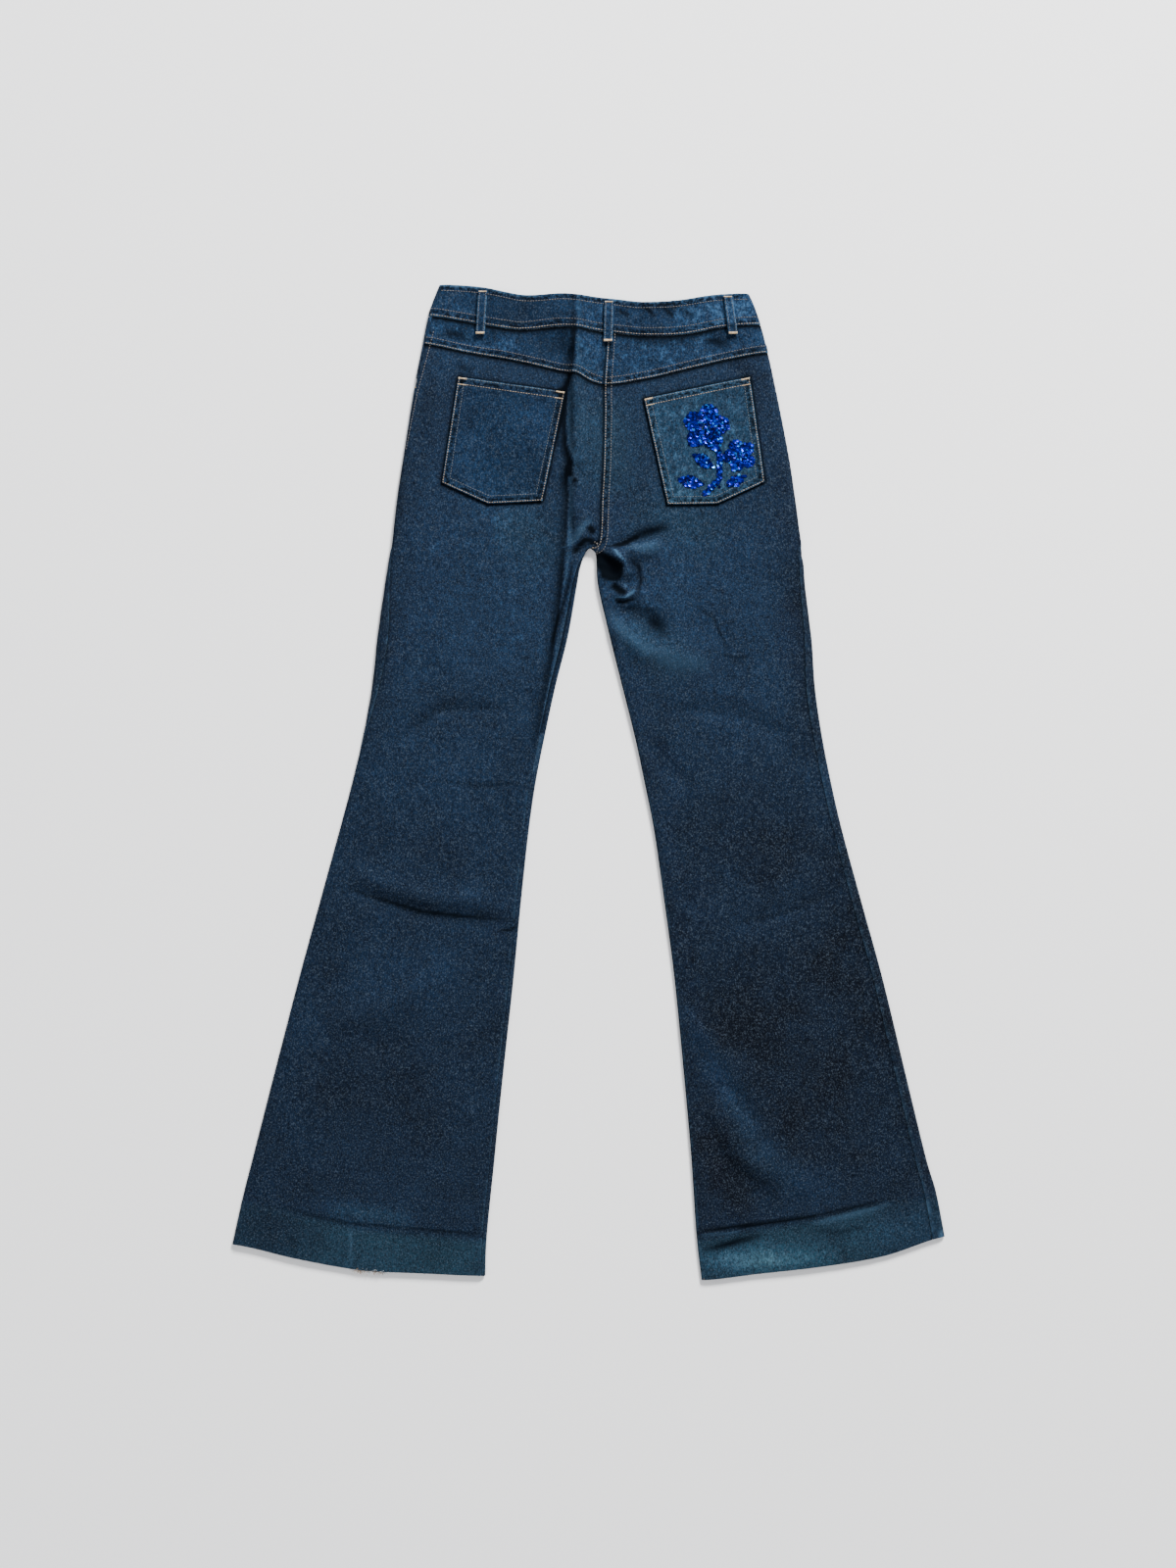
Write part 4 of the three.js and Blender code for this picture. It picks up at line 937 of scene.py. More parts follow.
PAINTED_SHADE = srgb(0, 3, 8)  # painted shade, near black: in folds and holes, beside raised seams and pieces, and between roped rows
RUBBED_AND_LIT = srgb(72, 106, 134)  # cloth rubbed pale at a seam's edge, and painted highlight on ridges and the brows of folds
FLECK = srgb(82, 95, 109)  # the pale weft that shows between the warp threads
PALE = srgb(50, 82, 114)
TEAL = (srgb(10, 24, 34), srgb(30, 56, 70), srgb(60, 92, 104))
SHEEN = (0.55, 0.7, 0.9)
TWILL_ANGLE = -58


def denim(name, navy, blue, contrast):
    """Indigo warp over pale weft: twill lines, slubs, flecks and cloudy fading, with painted light and
    shade from the piece's values.
    """
    material, tree, shader = make_material(name)
    fade = attribute(tree, "fade")
    clouds = noise(tree, (16, 12, 16), 4, 0.55)
    patches = noise(tree, (60, 48, 60), 3)
    mottle = noise(tree, (190, 130, 190), 4, 0.8)
    # Strength of each pattern on dark and on pale cloth
    strengths = (
        (clouds, 0.3, 0.3),
        (patches, 0.2, 0.34 * contrast),
        (mottle, 0.35, 1.5 * contrast),
    )
    level = fade
    for pattern, on_dark, on_pale in strengths:
        strength = ramp(tree, fade, (0.3, on_dark), (0.48, on_pale))
        change = math_node(tree, "MULTIPLY", math_node(tree, "SUBTRACT", pattern, 0.5), strength)
        level = math_node(tree, "ADD", level, change)
    indigo, teal = (ramp(tree, level, *zip((0.1, 0.6, 1), dyes)) for dyes in ((navy, blue, PALE), TEAL))
    base = mix(tree, attribute(tree, "let_down"), indigo, teal)

    # Warp slubs, dark pits between the threads and flecks of the weft
    slubs = noise(tree, (760, 250, 760), 3, 0.7)
    flecks = noise(tree, (620, 480, 620), 3, 0.8)
    pits = noise(tree, (660, 520, 660), 3, 0.75, 0.6)
    streaked = multiplied(tree, base, ramp(tree, slubs, (0.3, 0.6), (0.5, 0.95), (0.7, 1.55)))
    pitted = multiplied(tree, streaked, ramp(tree, pits, (0.38, 0.35), (0.5, 1)))
    flecked = mix(tree, ramp(tree, flecks, (0.52, 0), (0.74, 0.5)), pitted, FLECK)

    # Painted light and rubbing: above 0 the cloth is painted pale, rubbed at seams' edges and as painted
    # highlight on ridges; below 0 it takes painted shade in folds and painted shadow beside raised seams.
    # Between two rows of sewing the cloth ropes up, with painted shade in dark dashes.
    wear_and_painted_light = attribute(tree, "wear_and_painted_light")
    worn_and_lit = mix(tree, math_node(tree, "MAXIMUM", wear_and_painted_light, 0), flecked, RUBBED_AND_LIT)
    shade_share = math_node(tree, "MAXIMUM", math_node(tree, "MULTIPLY", wear_and_painted_light, -1), 0)
    shaded = mix(tree, shade_share, worn_and_lit, PAINTED_SHADE)
    dashes = ramp(tree, noise(tree, (300, 300, 300)), (0.44, 1), (0.58, 0))
    roping_shade = math_node(tree, "MULTIPLY", attribute(tree, "lap"), dashes)

    lines = {
        "Vector": scaled_coordinates(tree, (330, 330, 330), math.radians(TWILL_ANGLE)),
        "Scale": 1,
        "Distortion": 1.2,
        "Detail": 2,
    }
    twill = add_node(tree, "ShaderNodeTexWave", lines, wave_type="BANDS", bands_direction="X")
    weave = bump(tree, twill.outputs["Fac"], 0.5, 0.00012)
    grain = bump(tree, slubs, 0.5, 0.00025, weave)
    look = {
        "Base Color": mix(tree, roping_shade, shaded, PAINTED_SHADE),
        "Normal": bump(tree, mottle, 0.35, 0.0006, grain),
        "Roughness": 0.88,
        "Specular IOR Level": 0.04,
        "Sheen Weight": 0.02,
        "Sheen Roughness": 0.5,
        "Sheen Tint": SHEEN,
    }
    fill_inputs(tree, shader, look)
    return material


def grained_material(name, grain, levels, relief, roughness):
    """A material that one noise colours through levels and raises."""
    material, tree, shader = make_material(name)
    pattern = noise(tree, *grain)
    look = {
        "Base Color": ramp(tree, pattern, *levels),
        "Normal": bump(tree, pattern, *relief),
        "Roughness": roughness,
    }
    fill_inputs(tree, shader, look)
    return material


def denim_inside():
    """The pale weft side of the cloth."""
    levels = ((0.3, srgb(88, 104, 122)), (0.55, srgb(132, 146, 160)), (0.75, srgb(178, 188, 196)))
    return grained_material("denim_inside", ((300, 900, 300), 3, 0.65), levels, (0.5, 0.0003), 0.92)


def tape_material():
    levels = ((0.35, srgb(20, 24, 34)), (0.65, srgb(44, 50, 62)))
    return grained_material("zip_tape", ((1500, 500, 1500),), levels, (0.4, 0.0002), 0.85)


def thread_material(name, dark, light):
    material, tree, shader = make_material(name)
    plies = noise(tree, (2600, 2600, 2600), 1, 0.5)
    look = {
        "Base Color": ramp(tree, noise(tree, (300, 300, 300)), (0.35, dark), (0.65, light)),
        "Normal": bump(tree, plies, 0.4, 0.0001),
        "Roughness": 0.62,
        "Sheen Weight": 0.2,
    }
    fill_inputs(tree, shader, look)
    return material


def sequin_material():
    material, tree, shader = make_material("sequin_blue")
    # Painted glints: each sequin's random glint lightens it from deep blue to pale blue
    blues = (srgb(1, 2, 44), srgb(5, 9, 122), srgb(8, 42, 194), srgb(44, 148, 238))
    colour = ramp(tree, attribute(tree, "glint"), *zip((0, 0.55, 0.86, 1), blues))
    fill_inputs(tree, shader, {"Base Color": colour, "Metallic": 0.9, "Roughness": 0.32})
    return material


def brass_material():
    material, tree, shader = make_material("brass")
    tarnish = noise(tree, (420, 420, 420), 3)
    look = {
        "Base Color": ramp(tree, tarnish, (0.35, srgb(110, 78, 40)), (0.65, srgb(176, 134, 78))),
        "Roughness": ramp(tree, tarnish, (0.3, 0.28), (0.7, 0.5)),
        "Normal": bump(tree, tarnish, 0.2, 0.0002),
        "Metallic": 0.95,
    }
    fill_inputs(tree, shader, look)
    return material


# Finishes of the cloth: the slot, then the materials of the outside and the inside
INSIDE = denim_inside()
UPPER = ("denim_upper", [denim("denim_upper", srgb(4, 13, 26), srgb(19, 40, 64), 1.2), INSIDE])
LEG = ("denim_leg", [denim("denim_leg", srgb(7, 11, 20), srgb(20, 37, 58), 0.75), INSIDE])
TAPE = ("zip_tape", [tape_material()] * 2)
THREAD = thread_material("thread_tan", srgb(92, 80, 66), srgb(142, 124, 102))
FINE_THREAD = thread_material("thread_rose", srgb(54, 52, 52), srgb(92, 84, 76))
FADED_THREAD = thread_material("thread_faded", srgb(42, 48, 56), srgb(78, 80, 80))
TACK_THREAD = thread_material("thread_orange", srgb(138, 112, 80), srgb(190, 168, 132))


# Cloth pieces


def dress(obj, slot, *nodes):
    """Makes a piece ride with the body and stand for its CAD nodes, which it hides. The slot is not used.
    """
    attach(obj, "root")
    if nodes:
        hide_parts(*nodes)
    return obj


def bell(distance, width):
    return np.exp(-((distance / width) ** 2))


def tone_values(points, s, wear_and_painted_light, seams):
    """Fade with broad painted light and shade, let-down hem, rubbed edges with narrow painted
    highlight and shade, and seam laps for the material, on both faces of a wall.

    seams holds the distances from the edges that have two rows of sewing.
    """
    x, y = points[..., 0], points[..., 1]
    right_leg = smooth((80 - y) / 160) * (x > 0)
    # The fade takes the broad tones, whose rows along folds are painted highlight and painted shade
    fade = through(section["fade"], s) + fold_height(TONES, x, y) + 0.05 * slack(x, y, 70, 5)
    # Where the tuck's edge runs, and how dark the painted shadow beside it is
    edge_y, edge_x, darkness = np.array(TUCK_EDGE).T
    behind = np.interp(y, edge_y, edge_x) - x
    shade = np.interp(y, edge_y, darkness)
    # Narrow painted marks: painted highlight on ridges, painted shade in folds and holes, and a few
    # rubbed marks
    wear_and_painted_light = wear_and_painted_light + fold_height(MARKS, x, y)
    # Painted shadow on the cloth left of the tuck's edge, and a painted highlight on the edge's brow
    wear_and_painted_light = wear_and_painted_light - shade * bell(behind, TUCK_SHADE) * smooth(behind / 1.5 + 0.5)
    wear_and_painted_light = wear_and_painted_light + TUCK_BROW_HIGHLIGHT * (shade > 0) * bell(behind + 3, 3)
    in_hem = smooth((s - station("hem_crease")) / 0.2)
    uneven = (0.8 + 0.2 * slack(x, y, 40, 9)) * (1 - 0.6 * smooth((np.abs(x) - 290) / 70))
    values = {
        "fade": fade - RIGHT_LEG_DARKER * right_leg,
        "let_down": np.clip(in_hem * uneven + fold_height(GREENISH, x, y), 0, 1),
        "wear_and_painted_light": np.clip(wear_and_painted_light, -1, 1),
        # Where the roping's painted shade falls: beside edges with two rows of sewing
        "lap": np.clip(sum(bell(distance - 4.2, 2.9) for distance in seams), 0, 1),
    }
    return {name: np.tile(np.broadcast_to(v, x.shape).ravel(), 2) for name, v in values.items()}


def cloth_piece(
    node,
    points,
    s,
    finish,
    wear_and_painted_light=0,
    seams=(),
    facing=1,
    rims=(),
    radius=RIM_RADIUS,
    thickness=CLOTH,
    shift=None,
):
    """A shell that stands for a CAD node, from the grid of its outer face at the places s."""
    slot, materials = finish
    s = np.broadcast_to(np.asarray(s, float), points.shape[:2])
    values = tone_values(points, s, wear_and_painted_light, seams)
    for name, change in (shift or {}).items():
        values[name] = values[name] + change
    obj = wall(f"{node}_cloth", points, thickness, facing, materials, rims, radius)
    add_values(obj, **values)
    return dress(obj, slot, node), points


def pucker(along, from_seam, reach=6.5, pitch=9.5, depth=0.38):
    """Ripples that the sewing draws up across a seam."""
    phase = 2 * np.pi * along / pitch + 1.6 * slack(along, from_seam, 24, 11)
    strength = 0.6 + 0.5 * slack(along, along, 55, 3)
    return depth * strength * np.sin(phase) * bell(from_seam, reach)


def lap_profile(from_edge, width=9.5):
    """Height of a lapped, double-stitched seam: full to its inner row, then fading."""
    return LAP * (1 - smooth((from_edge - width + 1.5) / 2.5))


def seam_wear(from_edge, along):
    """Pale, rubbed line on a seam's edge, in uneven dashes."""
    dashes = 0.45 + 0.4 * np.sin(2 * np.pi * along / 7) + 0.5 * slack(along, from_edge, 12, 7)
    return np.clip(dashes, 0, 1) * bell(from_edge, 1.6)


def lee_shadow(from_edge, reach, depth):
    """Painted shadow: a dark line on the cloth beside a raised seam or piece."""
    return -depth * bell(np.maximum(from_edge, 0), reach)


def from_outline(corners, x, y):
    """Distance outside a closed outline, below 0 inside it."""
    corners = np.asarray(corners, float)
    nearest = np.full(x.shape, np.inf)
    inside = np.zeros(x.shape, bool)
    for (ax, ay), (bx, by) in zip(corners, np.roll(corners, -1, axis=0)):
        distance, _ = from_segment((ax, ay), (bx, by), x, y)
        nearest = np.minimum(nearest, distance)
        if by != ay:
            inside ^= ((ay > y) != (by > y)) & (x < ax + (bx - ax) * (y - ay) / (by - ay))
    return np.where(inside, -nearest, nearest)


def raised(points, facing, amount):
    return points + grid_normals(points, facing) * amount[..., None]


def grid_on_form(side, rows, c, layer="back", lie=FLUSH):
    """Places s and points of a grid on the form."""
    s = np.broadcast_to(rows[:, None], c.shape)
    return s, on_form(side, s, c, layer, lie)


def back_grid(side, start, end):
    rows = row_stops(side, start, end, BACK_STEP)
    at = section_at(side, rows)
    gap = SEAM_GAP / 2
    c = stops(at["seam"] + gap, cloth_width(at, "back") - at["inseam"] - gap, BACK_STEP)
    return grid_on_form(side, rows, c)


def back_leg(side):
    s, points = back_grid(side, station("yoke_seam") + YOKE_GAP, LAST)
    d = edge_distances(points)
    above_fork = 1 - smooth((s - station("low_seat")) / 2)
    rise = pucker(d["start"], d["top"]) + 0.8 * pucker(d["top"], d["end"])
    if side == "right":
        rise = rise + lap_profile(d["end"]) * above_fork
    points = raised(points, 1, rise + pucker(d["top"], d["start"], depth=0.22))
    d = edge_distances(points)
    # Painted shadows along the side seam, below the yoke and round the pockets
    wear_and_painted_light = lee_shadow(d["start"], 2, 0.3) + lee_shadow(d["top"], 3.4, 1.2)
    wear_and_painted_light = wear_and_painted_light + lee_shadow(from_outline(POCKET_CORNERS[side], points[..., 0], points[..., 1]), 2.8, 1.1)
    rubbed = seam_wear(d["end"], d["top"])
    if side == "right":
        seams = [d["end"] + 50 * (1 - above_fork)]
        return cloth_piece("back_leg_right", points, s, LEG, wear_and_painted_light + 0.2 * rubbed, seams, rims=["end"])
    # Painted shadow beside the centre seam, where the right leg laps over
    wear_and_painted_light = wear_and_painted_light + lee_shadow(d["end"], 2.6, 1) * above_fork + 0.14 * rubbed * (1 - above_fork)
    return cloth_piece("back_leg_left", points, s, LEG, wear_and_painted_light)


def back_yoke(side):
    s, points = back_grid(side, station("band_bottom") + YOKE_BELOW_BAND, station("yoke_seam") - YOKE_GAP)
    lapped = ["bottom", "end"] if side == "right" else ["bottom"]
    d = edge_distances(points)
    rise = np.max([lap_profile(d[edge]) for edge in lapped], axis=0) + pucker(d["top"], d["end"])
    rise = rise + pucker(d["start"], d["bottom"]) + pucker(d["start"], d["top"], depth=0.3)
    points = raised(points, 1, rise)
    d = edge_distances(points)
    # Painted shadow below the band and, on the left yoke, beside the centre seam; rubbed pale seam edges
    at_centre = 0.5 * seam_wear(d["end"], d["top"]) if side == "right" else lee_shadow(d["end"], 2.6, 1)
    wear_and_painted_light = 0.6 * seam_wear(d["bottom"], d["start"]) + lee_shadow(d["top"], 4, 1.2) + at_centre
    seams = [d[edge] for edge in lapped]
    return cloth_piece(f"back_yoke_{side}", points, s, UPPER, wear_and_painted_light, seams, rims=lapped)


def scoop_edge(s):
    """How far the front pocket's opening reaches in from the side."""
    start = station("band_bottom")
    share = np.clip((s - start) / (station("pocket_top") - start), 0, 1)
    return SCOOP_WIDTH * np.sqrt(1 - share**2)


def front_leg(side):
    rows = row_stops(side, station("band_bottom") + FRONT_BELOW_BAND, LAST, FRONT_STEP)
    at = section_at(side, rows)
    in_scoop = rows < station("pocket_top")
    start = np.where(in_scoop, UNDER_END + scoop_edge(rows), SEAM_GAP - at["seam"])
    width = cloth_width(at, "front")
    c = stops(start, width + at["inseam"] - SEAM_GAP / 2, FRONT_STEP)
    s, points = grid_on_form(side, rows, c, "front")
    d = edge_distances(points)
    on_flat = np.clip((c - 8) / 8, 0, 1) * np.clip((width[:, None] - c - 8) / 8, 0, 1)
    arch = np.maximum(pucker(d["top"], d["start"], depth=0.25), 0) * on_flat
    points = raised(points, -1, -arch)
    d = edge_distances(points)
    # Painted shadow along the front's inner edge, up in the fork
    fork_shadow = lee_shadow(d["end"], 4, 0.75) * (s < station("lower_thigh"))
    wear_and_painted_light = 0.15 * seam_wear(d["start"], d["top"]) + fork_shadow
    return cloth_piece(f"front_leg_{side}", points, s, LEG, wear_and_painted_light, facing=-1, rims=["start"])


def pocket_facing(side):
    start = station("band_bottom") + FRONT_BELOW_BAND
    rows = row_stops(side, start, station("pocket_top") - FACING_ABOVE_POCKET, FRONT_STEP)
    at = section_at(side, rows)
    c = stops(SEAM_GAP - at["seam"], UNDER_END + scoop_edge(rows) + FACING_UNDERLAP, FRONT_STEP)
    s, points = grid_on_form(side, rows, c, "front", BEHIND_SCOOP)
    return cloth_piece(f"front_pocket_facing_{side}", points, s, UPPER, facing=-1)


def waistband():
    parts = []
    for side in ("left", "right"):
        rows = row_stops(side, 0, station("band_bottom") - BAND_GAP, 2.5)
        at = section_at(side, rows)
        end_x = CENTRE_FRONT + (BAND_OVERLAP if side == "left" else -BAND_UNDERLAP)
        start = -(np.abs(end_x - at["outer"]) + (ARC_PER_ROLL - 1) * UNDER_ROLL)
        c = stops(start, cloth_width(at, "back"), 3)
        parts.append(grid_on_form(side, rows, c, "back", IN_BAND))
    s, points = (np.concatenate([left, right[:, -2::-1]], axis=1) for left, right in zip(*parts))
    d = edge_distances(points)
    rise = pucker(d["start"], d["bottom"], 9, depth=0.34) + pucker(d["start"], d["top"], 7, depth=0.3)
    on_back = np.clip((points[..., 2] - 4) / 2, 0, 1)
    points = raised(points, 1, rise * on_back)
    d = edge_distances(points)
    wear_and_painted_light = 0.9 * seam_wear(d["top"], d["start"]) + 0.5 * seam_wear(d["bottom"], d["start"])
    shape = {"rims": ALL_RIMS, "radius": 1, "thickness": BAND_CLOTH}
    return cloth_piece("waistband", points, s, UPPER, wear_and_painted_light, [d["bottom"], d["top"]], **shape)


def tree_of(*objects):
    """One ray-casting tree of some objects."""
    points = []
    faces = []
    for obj in objects:
        first = len(points)
        points += [v.co.copy() for v in obj.data.vertices]
        faces += [[first + i for i in p.vertices] for p in obj.data.polygons]
    return BVHTree.FromPolygons(points, faces)


def land(tree, x, y, from_above=True):
    """Where a line down, or up from below, through a point in millimetres meets the cloth."""
    origin = Vector(to_frame((x, y, 0)))
    origin.z = RAY_START if from_above else -RAY_START
    hit, normal, _, _ = tree.ray_cast(origin, Vector((0, 0, -1 if from_above else 1)))
    return hit, normal


def heights_on(tree, x, y):
    """Height of the cloth over a grid of places, in millimetres."""
    heights = np.zeros(x.shape)
    for place in np.ndindex(x.shape):
        hit, _ = land(tree, x[place], y[place])
        heights[place] = hit.z / MM if hit else np.nan
    return np.where(np.isnan(heights), np.nanmin(heights), heights)


def back_pocket(side, tree):
    top_outer, top_inner, bottom_inner, point, bottom_outer = np.array(POCKET_CORNERS[side], float)
    across = stops(0, np.linalg.norm(top_inner - top_outer), POCKET_STEP)
    down = stops(0, np.linalg.norm(bottom_outer - top_outer), POCKET_STEP)
    t = (across / across[-1])[:, None]
    u = (down / down[-1])[:, None, None]
    low = np.where(t < 0.5, lerp(bottom_outer, point, 2 * t), lerp(point, bottom_inner, 2 * t - 1))
    flat = lerp(lerp(top_outer, top_inner, t)[None], low[None], u)
    x, y = flat[..., 0], flat[..., 1]
    ground = np.stack([x, y, heights_on(tree, x, y)], axis=-1)
    d = edge_distances(ground)
    hem = POCKET_HEM_RISE * (1 - smooth((d["top"] - POCKET_HEM + 1) / 1.6))
    from_sides = np.min([d["start"], d["end"], d["bottom"]], axis=0)
    turned = 0.7 * (1 - smooth((from_sides - 7.5) / 2.2))
    ripple = pucker(d["top"], d["start"]) + pucker(d["top"], d["end"]) + pucker(d["start"], d["bottom"])
    ease = 0.5 * np.sin(np.pi * t[:, 0]) * np.sin(np.pi * u[..., 0])
    rise = SEAM_GAP + np.maximum(POCKET_CLOTH + np.maximum(hem, turned) + 0.7 * ripple + ease, 1)
    points = ground + np.array([0, 0, 1]) * rise[..., None]
    d = edge_distances(points)
    edges = (("start", "top"), ("end", "top"), ("bottom", "start"), ("top", "start"))
    wear_and_painted_light = 0.55 * sum(seam_wear(d[edge], d[along]) for edge, along in edges)
    seams = [d[edge] for edge in ALL_RIMS]
    shape = {"rims": ALL_RIMS, "thickness": POCKET_CLOTH - 0.1, "shift": POCKET_TONE[side]}
    obj, _ = cloth_piece(f"back_pocket_{side}", points, station("hip"), UPPER, wear_and_painted_light, seams, **shape)
    return obj, np.dstack([flat, np.zeros(x.shape)])


def belt_loop(name, tree):
    top_x, top_y, bottom_x, bottom_y = BACK_LOOPS[name]
    down = stops(0, top_y - bottom_y, 1.5)
    t = (down / down[-1])[:, None]
    across = stops(-LOOP_WIDTH / 2, LOOP_WIDTH / 2, 1.6)[None]
    x = lerp(top_x, bottom_x, t) + across
    y = np.broadcast_to(lerp(top_y, bottom_y, t), x.shape)
    ground = heights_on(tree, x, y).max(axis=1, keepdims=True)
    arch = LOOP_ARCH * np.sin(np.pi * t) ** 0.8
    folded = 0.9 * bell((1 - t) * (top_y - bottom_y), 4.5)
    ribs = 0.25 * bell(np.abs(across) - LOOP_WIDTH / 2 + 2, 1.2)
    points = np.stack([x, y, ground + SEAM_GAP + LOOP_CLOTH + arch + folded + ribs], axis=-1)
    d = edge_distances(points)
    wear_and_painted_light = 0.5 * (seam_wear(d["start"], d["top"]) + seam_wear(d["end"], d["top"]))
    shape = {"rims": ALL_RIMS, "radius": 0.8, "thickness": LOOP_CLOTH}
    return cloth_piece(f"belt_loop_{name}", points, 1, UPPER, wear_and_painted_light, **shape)


def front_loop(name):
    middle = band_middle(name.split("_")[1], FRONT_LOOPS[name])
    down = stops(0, FRONT_LOOP_LENGTH, 1.5)[:, None]
    across = stops(-LOOP_WIDTH / 2, LOOP_WIDTH / 2, 1.6)[None]
    x, y = np.broadcast_arrays(FRONT_LOOPS[name] + across, middle + FRONT_LOOP_LENGTH / 2 - down)
    points = np.stack([x, y, np.zeros(x.shape)], axis=-1)
    d = edge_distances(points)
    wear_and_painted_light = 0.3 * seam_wear(d["start"], d["top"])
    shape = {"facing": -1, "rims": ALL_RIMS, "thickness": FRONT_LOOP_CLOTH}
    return cloth_piece(f"belt_loop_{name}", points, 1, UPPER, wear_and_painted_light, **shape)


def front_edge_x(y):
    """x of the centre front at some heights y."""
    s = np.linspace(station("band_bottom"), station("crotch"), 400)
    at = section_at("left", s)
    edge_y = front_outline(at, at["front_width"])[1]
    return np.interp(-np.asarray(y, float), -edge_y, at["front"])


def slider_rise(x, y):
    """How far the zip slider lifts the tape and the shield."""
    pad = {
        "x": float(front_edge_x(SLIDER_Y)),
        "y": SLIDER_Y,
        "half_width": SLIDER_HALF_WIDTH + 2,
        "half_length": SLIDER_HALF_LENGTH + 2,
        "fade": 10,
    }
    return (SLIDER_HEIGHT + SEAM_GAP) * pad_share(pad, x, y)


def fly_piece(node, left_edge, width, bottom, underside, thickness, finish):
    """The zip's tape or the shield behind it, along the centre front."""
    down = stops(0, ZIP_TOP - bottom, 4)[:, None]
    across = stops(left_edge, left_edge + width, 4)[None]
    y = np.broadcast_to(ZIP_TOP - down, (len(down), across.shape[1]))
    x = front_edge_x(y) + across
    points = np.stack([x, y, underside + slider_rise(x, y)], axis=-1)
    return cloth_piece(node, points, station("pocket_top"), finish, facing=-1, thickness=thickness)


def build_cloth():
    """Every cloth piece's object and the grid its flat size is measured on."""
    pieces = {}
    for side in ("left", "right"):
        pieces[f"leg_{side}"] = back_leg(side)
        pieces[f"yoke_{side}"] = back_yoke(side)
        pieces[f"front_{side}"] = front_leg(side)
        pieces[f"facing_{side}"] = pocket_facing(side)
    pieces["band"] = waistband()
    leg_tree = tree_of(pieces["leg_left"][0], pieces["leg_right"][0])
    for side in ("left", "right"):
        pieces[f"pocket_{side}"] = back_pocket(side, leg_tree)
    band_tree = tree_of(*(pieces[key][0] for key in ("yoke_left", "yoke_right", "band")))
    for name in BACK_LOOPS:
        pieces[f"loop_{name}"] = belt_loop(name, band_tree)
    for name in FRONT_LOOPS:
        pieces[f"loop_{name}"] = front_loop(name)
    left = -ZIP_WIDTH / 2
    tape = (ZIP_BOTTOM, TAPE_UNDERSIDE, TAPE_CLOTH, TAPE)
    pieces["tape"] = fly_piece("zip_tape", left, ZIP_WIDTH, *tape)
    shield = (SHIELD_BOTTOM, TAPE_UNDERSIDE + TAPE_CLOTH + SHIELD_GAP, CLOTH, UPPER)
    pieces["shield"] = fly_piece("fly_shield", left - 3, SHIELD_WIDTH + 3, *shield)
    return pieces


cloth = build_cloth()


# Sewing


def spaced(path, pitch):
    """Places along a path of (x, y) points, a pitch apart, and the directions there."""
    path = np.asarray(path, float)
    steps = np.linalg.norm(np.diff(path, axis=0), axis=1)
    along = np.concatenate([[0], np.cumsum(steps)])
    count = max(int(round(along[-1] / pitch)), 1)
    at = (np.arange(count) + 0.5) * along[-1] / count
    behind, places, ahead = (
        np.stack([np.interp(at + shift, along, path[:, k]) for k in (0, 1)], axis=1)
        for shift in (-0.5, 0, 0.5)
    )
    return places, ahead - behind


def lay_stitches(tree, places, directions, length, width, from_above=True):
    """Stitches on the cloth: the place, direction, cloth's normal, length and width of each."""
    stitches = []
    for (x, y), (dx, dy) in zip(places, directions):
        hit, normal = land(tree, x, y, from_above)
        if hit is None:
            continue
        if (normal.z > 0) != from_above:
            normal = -normal
        if not from_above:
            hit = hit - normal * (UNDER_SINK * MM)
        direction = Vector((dx, dy, 0))
        direction -= normal * direction.dot(normal)
        stitches.append((hit, direction.normalized(), normal, length, width))
    return stitches


def sew(tree, path, width=THREAD_WIDTH, length=STITCH_LENGTH, pitch=STITCH_PITCH, from_above=True):
    """A row of stitches along a path."""
    places, directions = spaced(path, pitch)
    return lay_stitches(tree, places, directions, length, width, from_above)


def tack(tree, middle, angle, length, width):
    """A bartack: short stitches side by side along a line."""
    along = np.array([math.cos(angle), math.sin(angle)])
    across = np.array([-along[1], along[0]]) + 0.15 * along
    places = [middle + along * t for t in np.arange(-length / 2, length / 2 + 0.01, TACK_PITCH)]
    return lay_stitches(tree, places, [across] * len(places), width, THREAD_WIDTH)


# A stitch's outline along its length: place, size and height, as shares of its length and width
STITCH_RINGS = [(-0.5, 0, -0.25), (-0.34, 0.85, 0.1), (0, 1, 0.2), (0.34, 0.85, 0.1), (0.5, 0, -0.25)]
STITCH_SIDES = 5


def stitch_mesh(name, stitches, material, slot):
    """All the stitches of a list as one mesh of small rounded lozenges."""
    places, along, normal, length, width = (np.array(column) for column in zip(*stitches))
    places = places / MM - CENTRE
    across = np.cross(normal, along)
    points = []
    for share, size, rise in STITCH_RINGS:
        centre = places + along * (share * length)[:, None] + normal * (rise * width)[:, None]
        for k in range(STITCH_SIDES if size else 1):
            angle = 2 * math.pi * k / STITCH_SIDES
            side = across * (0.5 * size * width * math.cos(angle))[:, None]
            up = normal * (0.34 * size * width * math.sin(angle))[:, None]
            points.append(centre + side + up)
    count = len(points)
    ring_starts = [1, 1 + STITCH_SIDES, 1 + 2 * STITCH_SIDES]
    faces = []
    for k in range(STITCH_SIDES):
        after = (k + 1) % STITCH_SIDES
        faces.append([0, ring_starts[0] + after, ring_starts[0] + k])
        faces.append([count - 1, ring_starts[2] + k, ring_starts[2] + after])
        for first, second in zip(ring_starts, ring_starts[1:]):
            faces.append([first + k, first + after, second + after])
            faces.append([first + k, second + after, second + k])
    stacked = np.stack(points, axis=1).reshape(-1, 3)
    offsets = (np.arange(len(stitches)) * count)[:, None, None]
    all_faces = (np.array(faces)[None] + offsets).reshape(-1, 3)
    return dress(mesh_object(name, stacked, all_faces, None, [material]), slot)


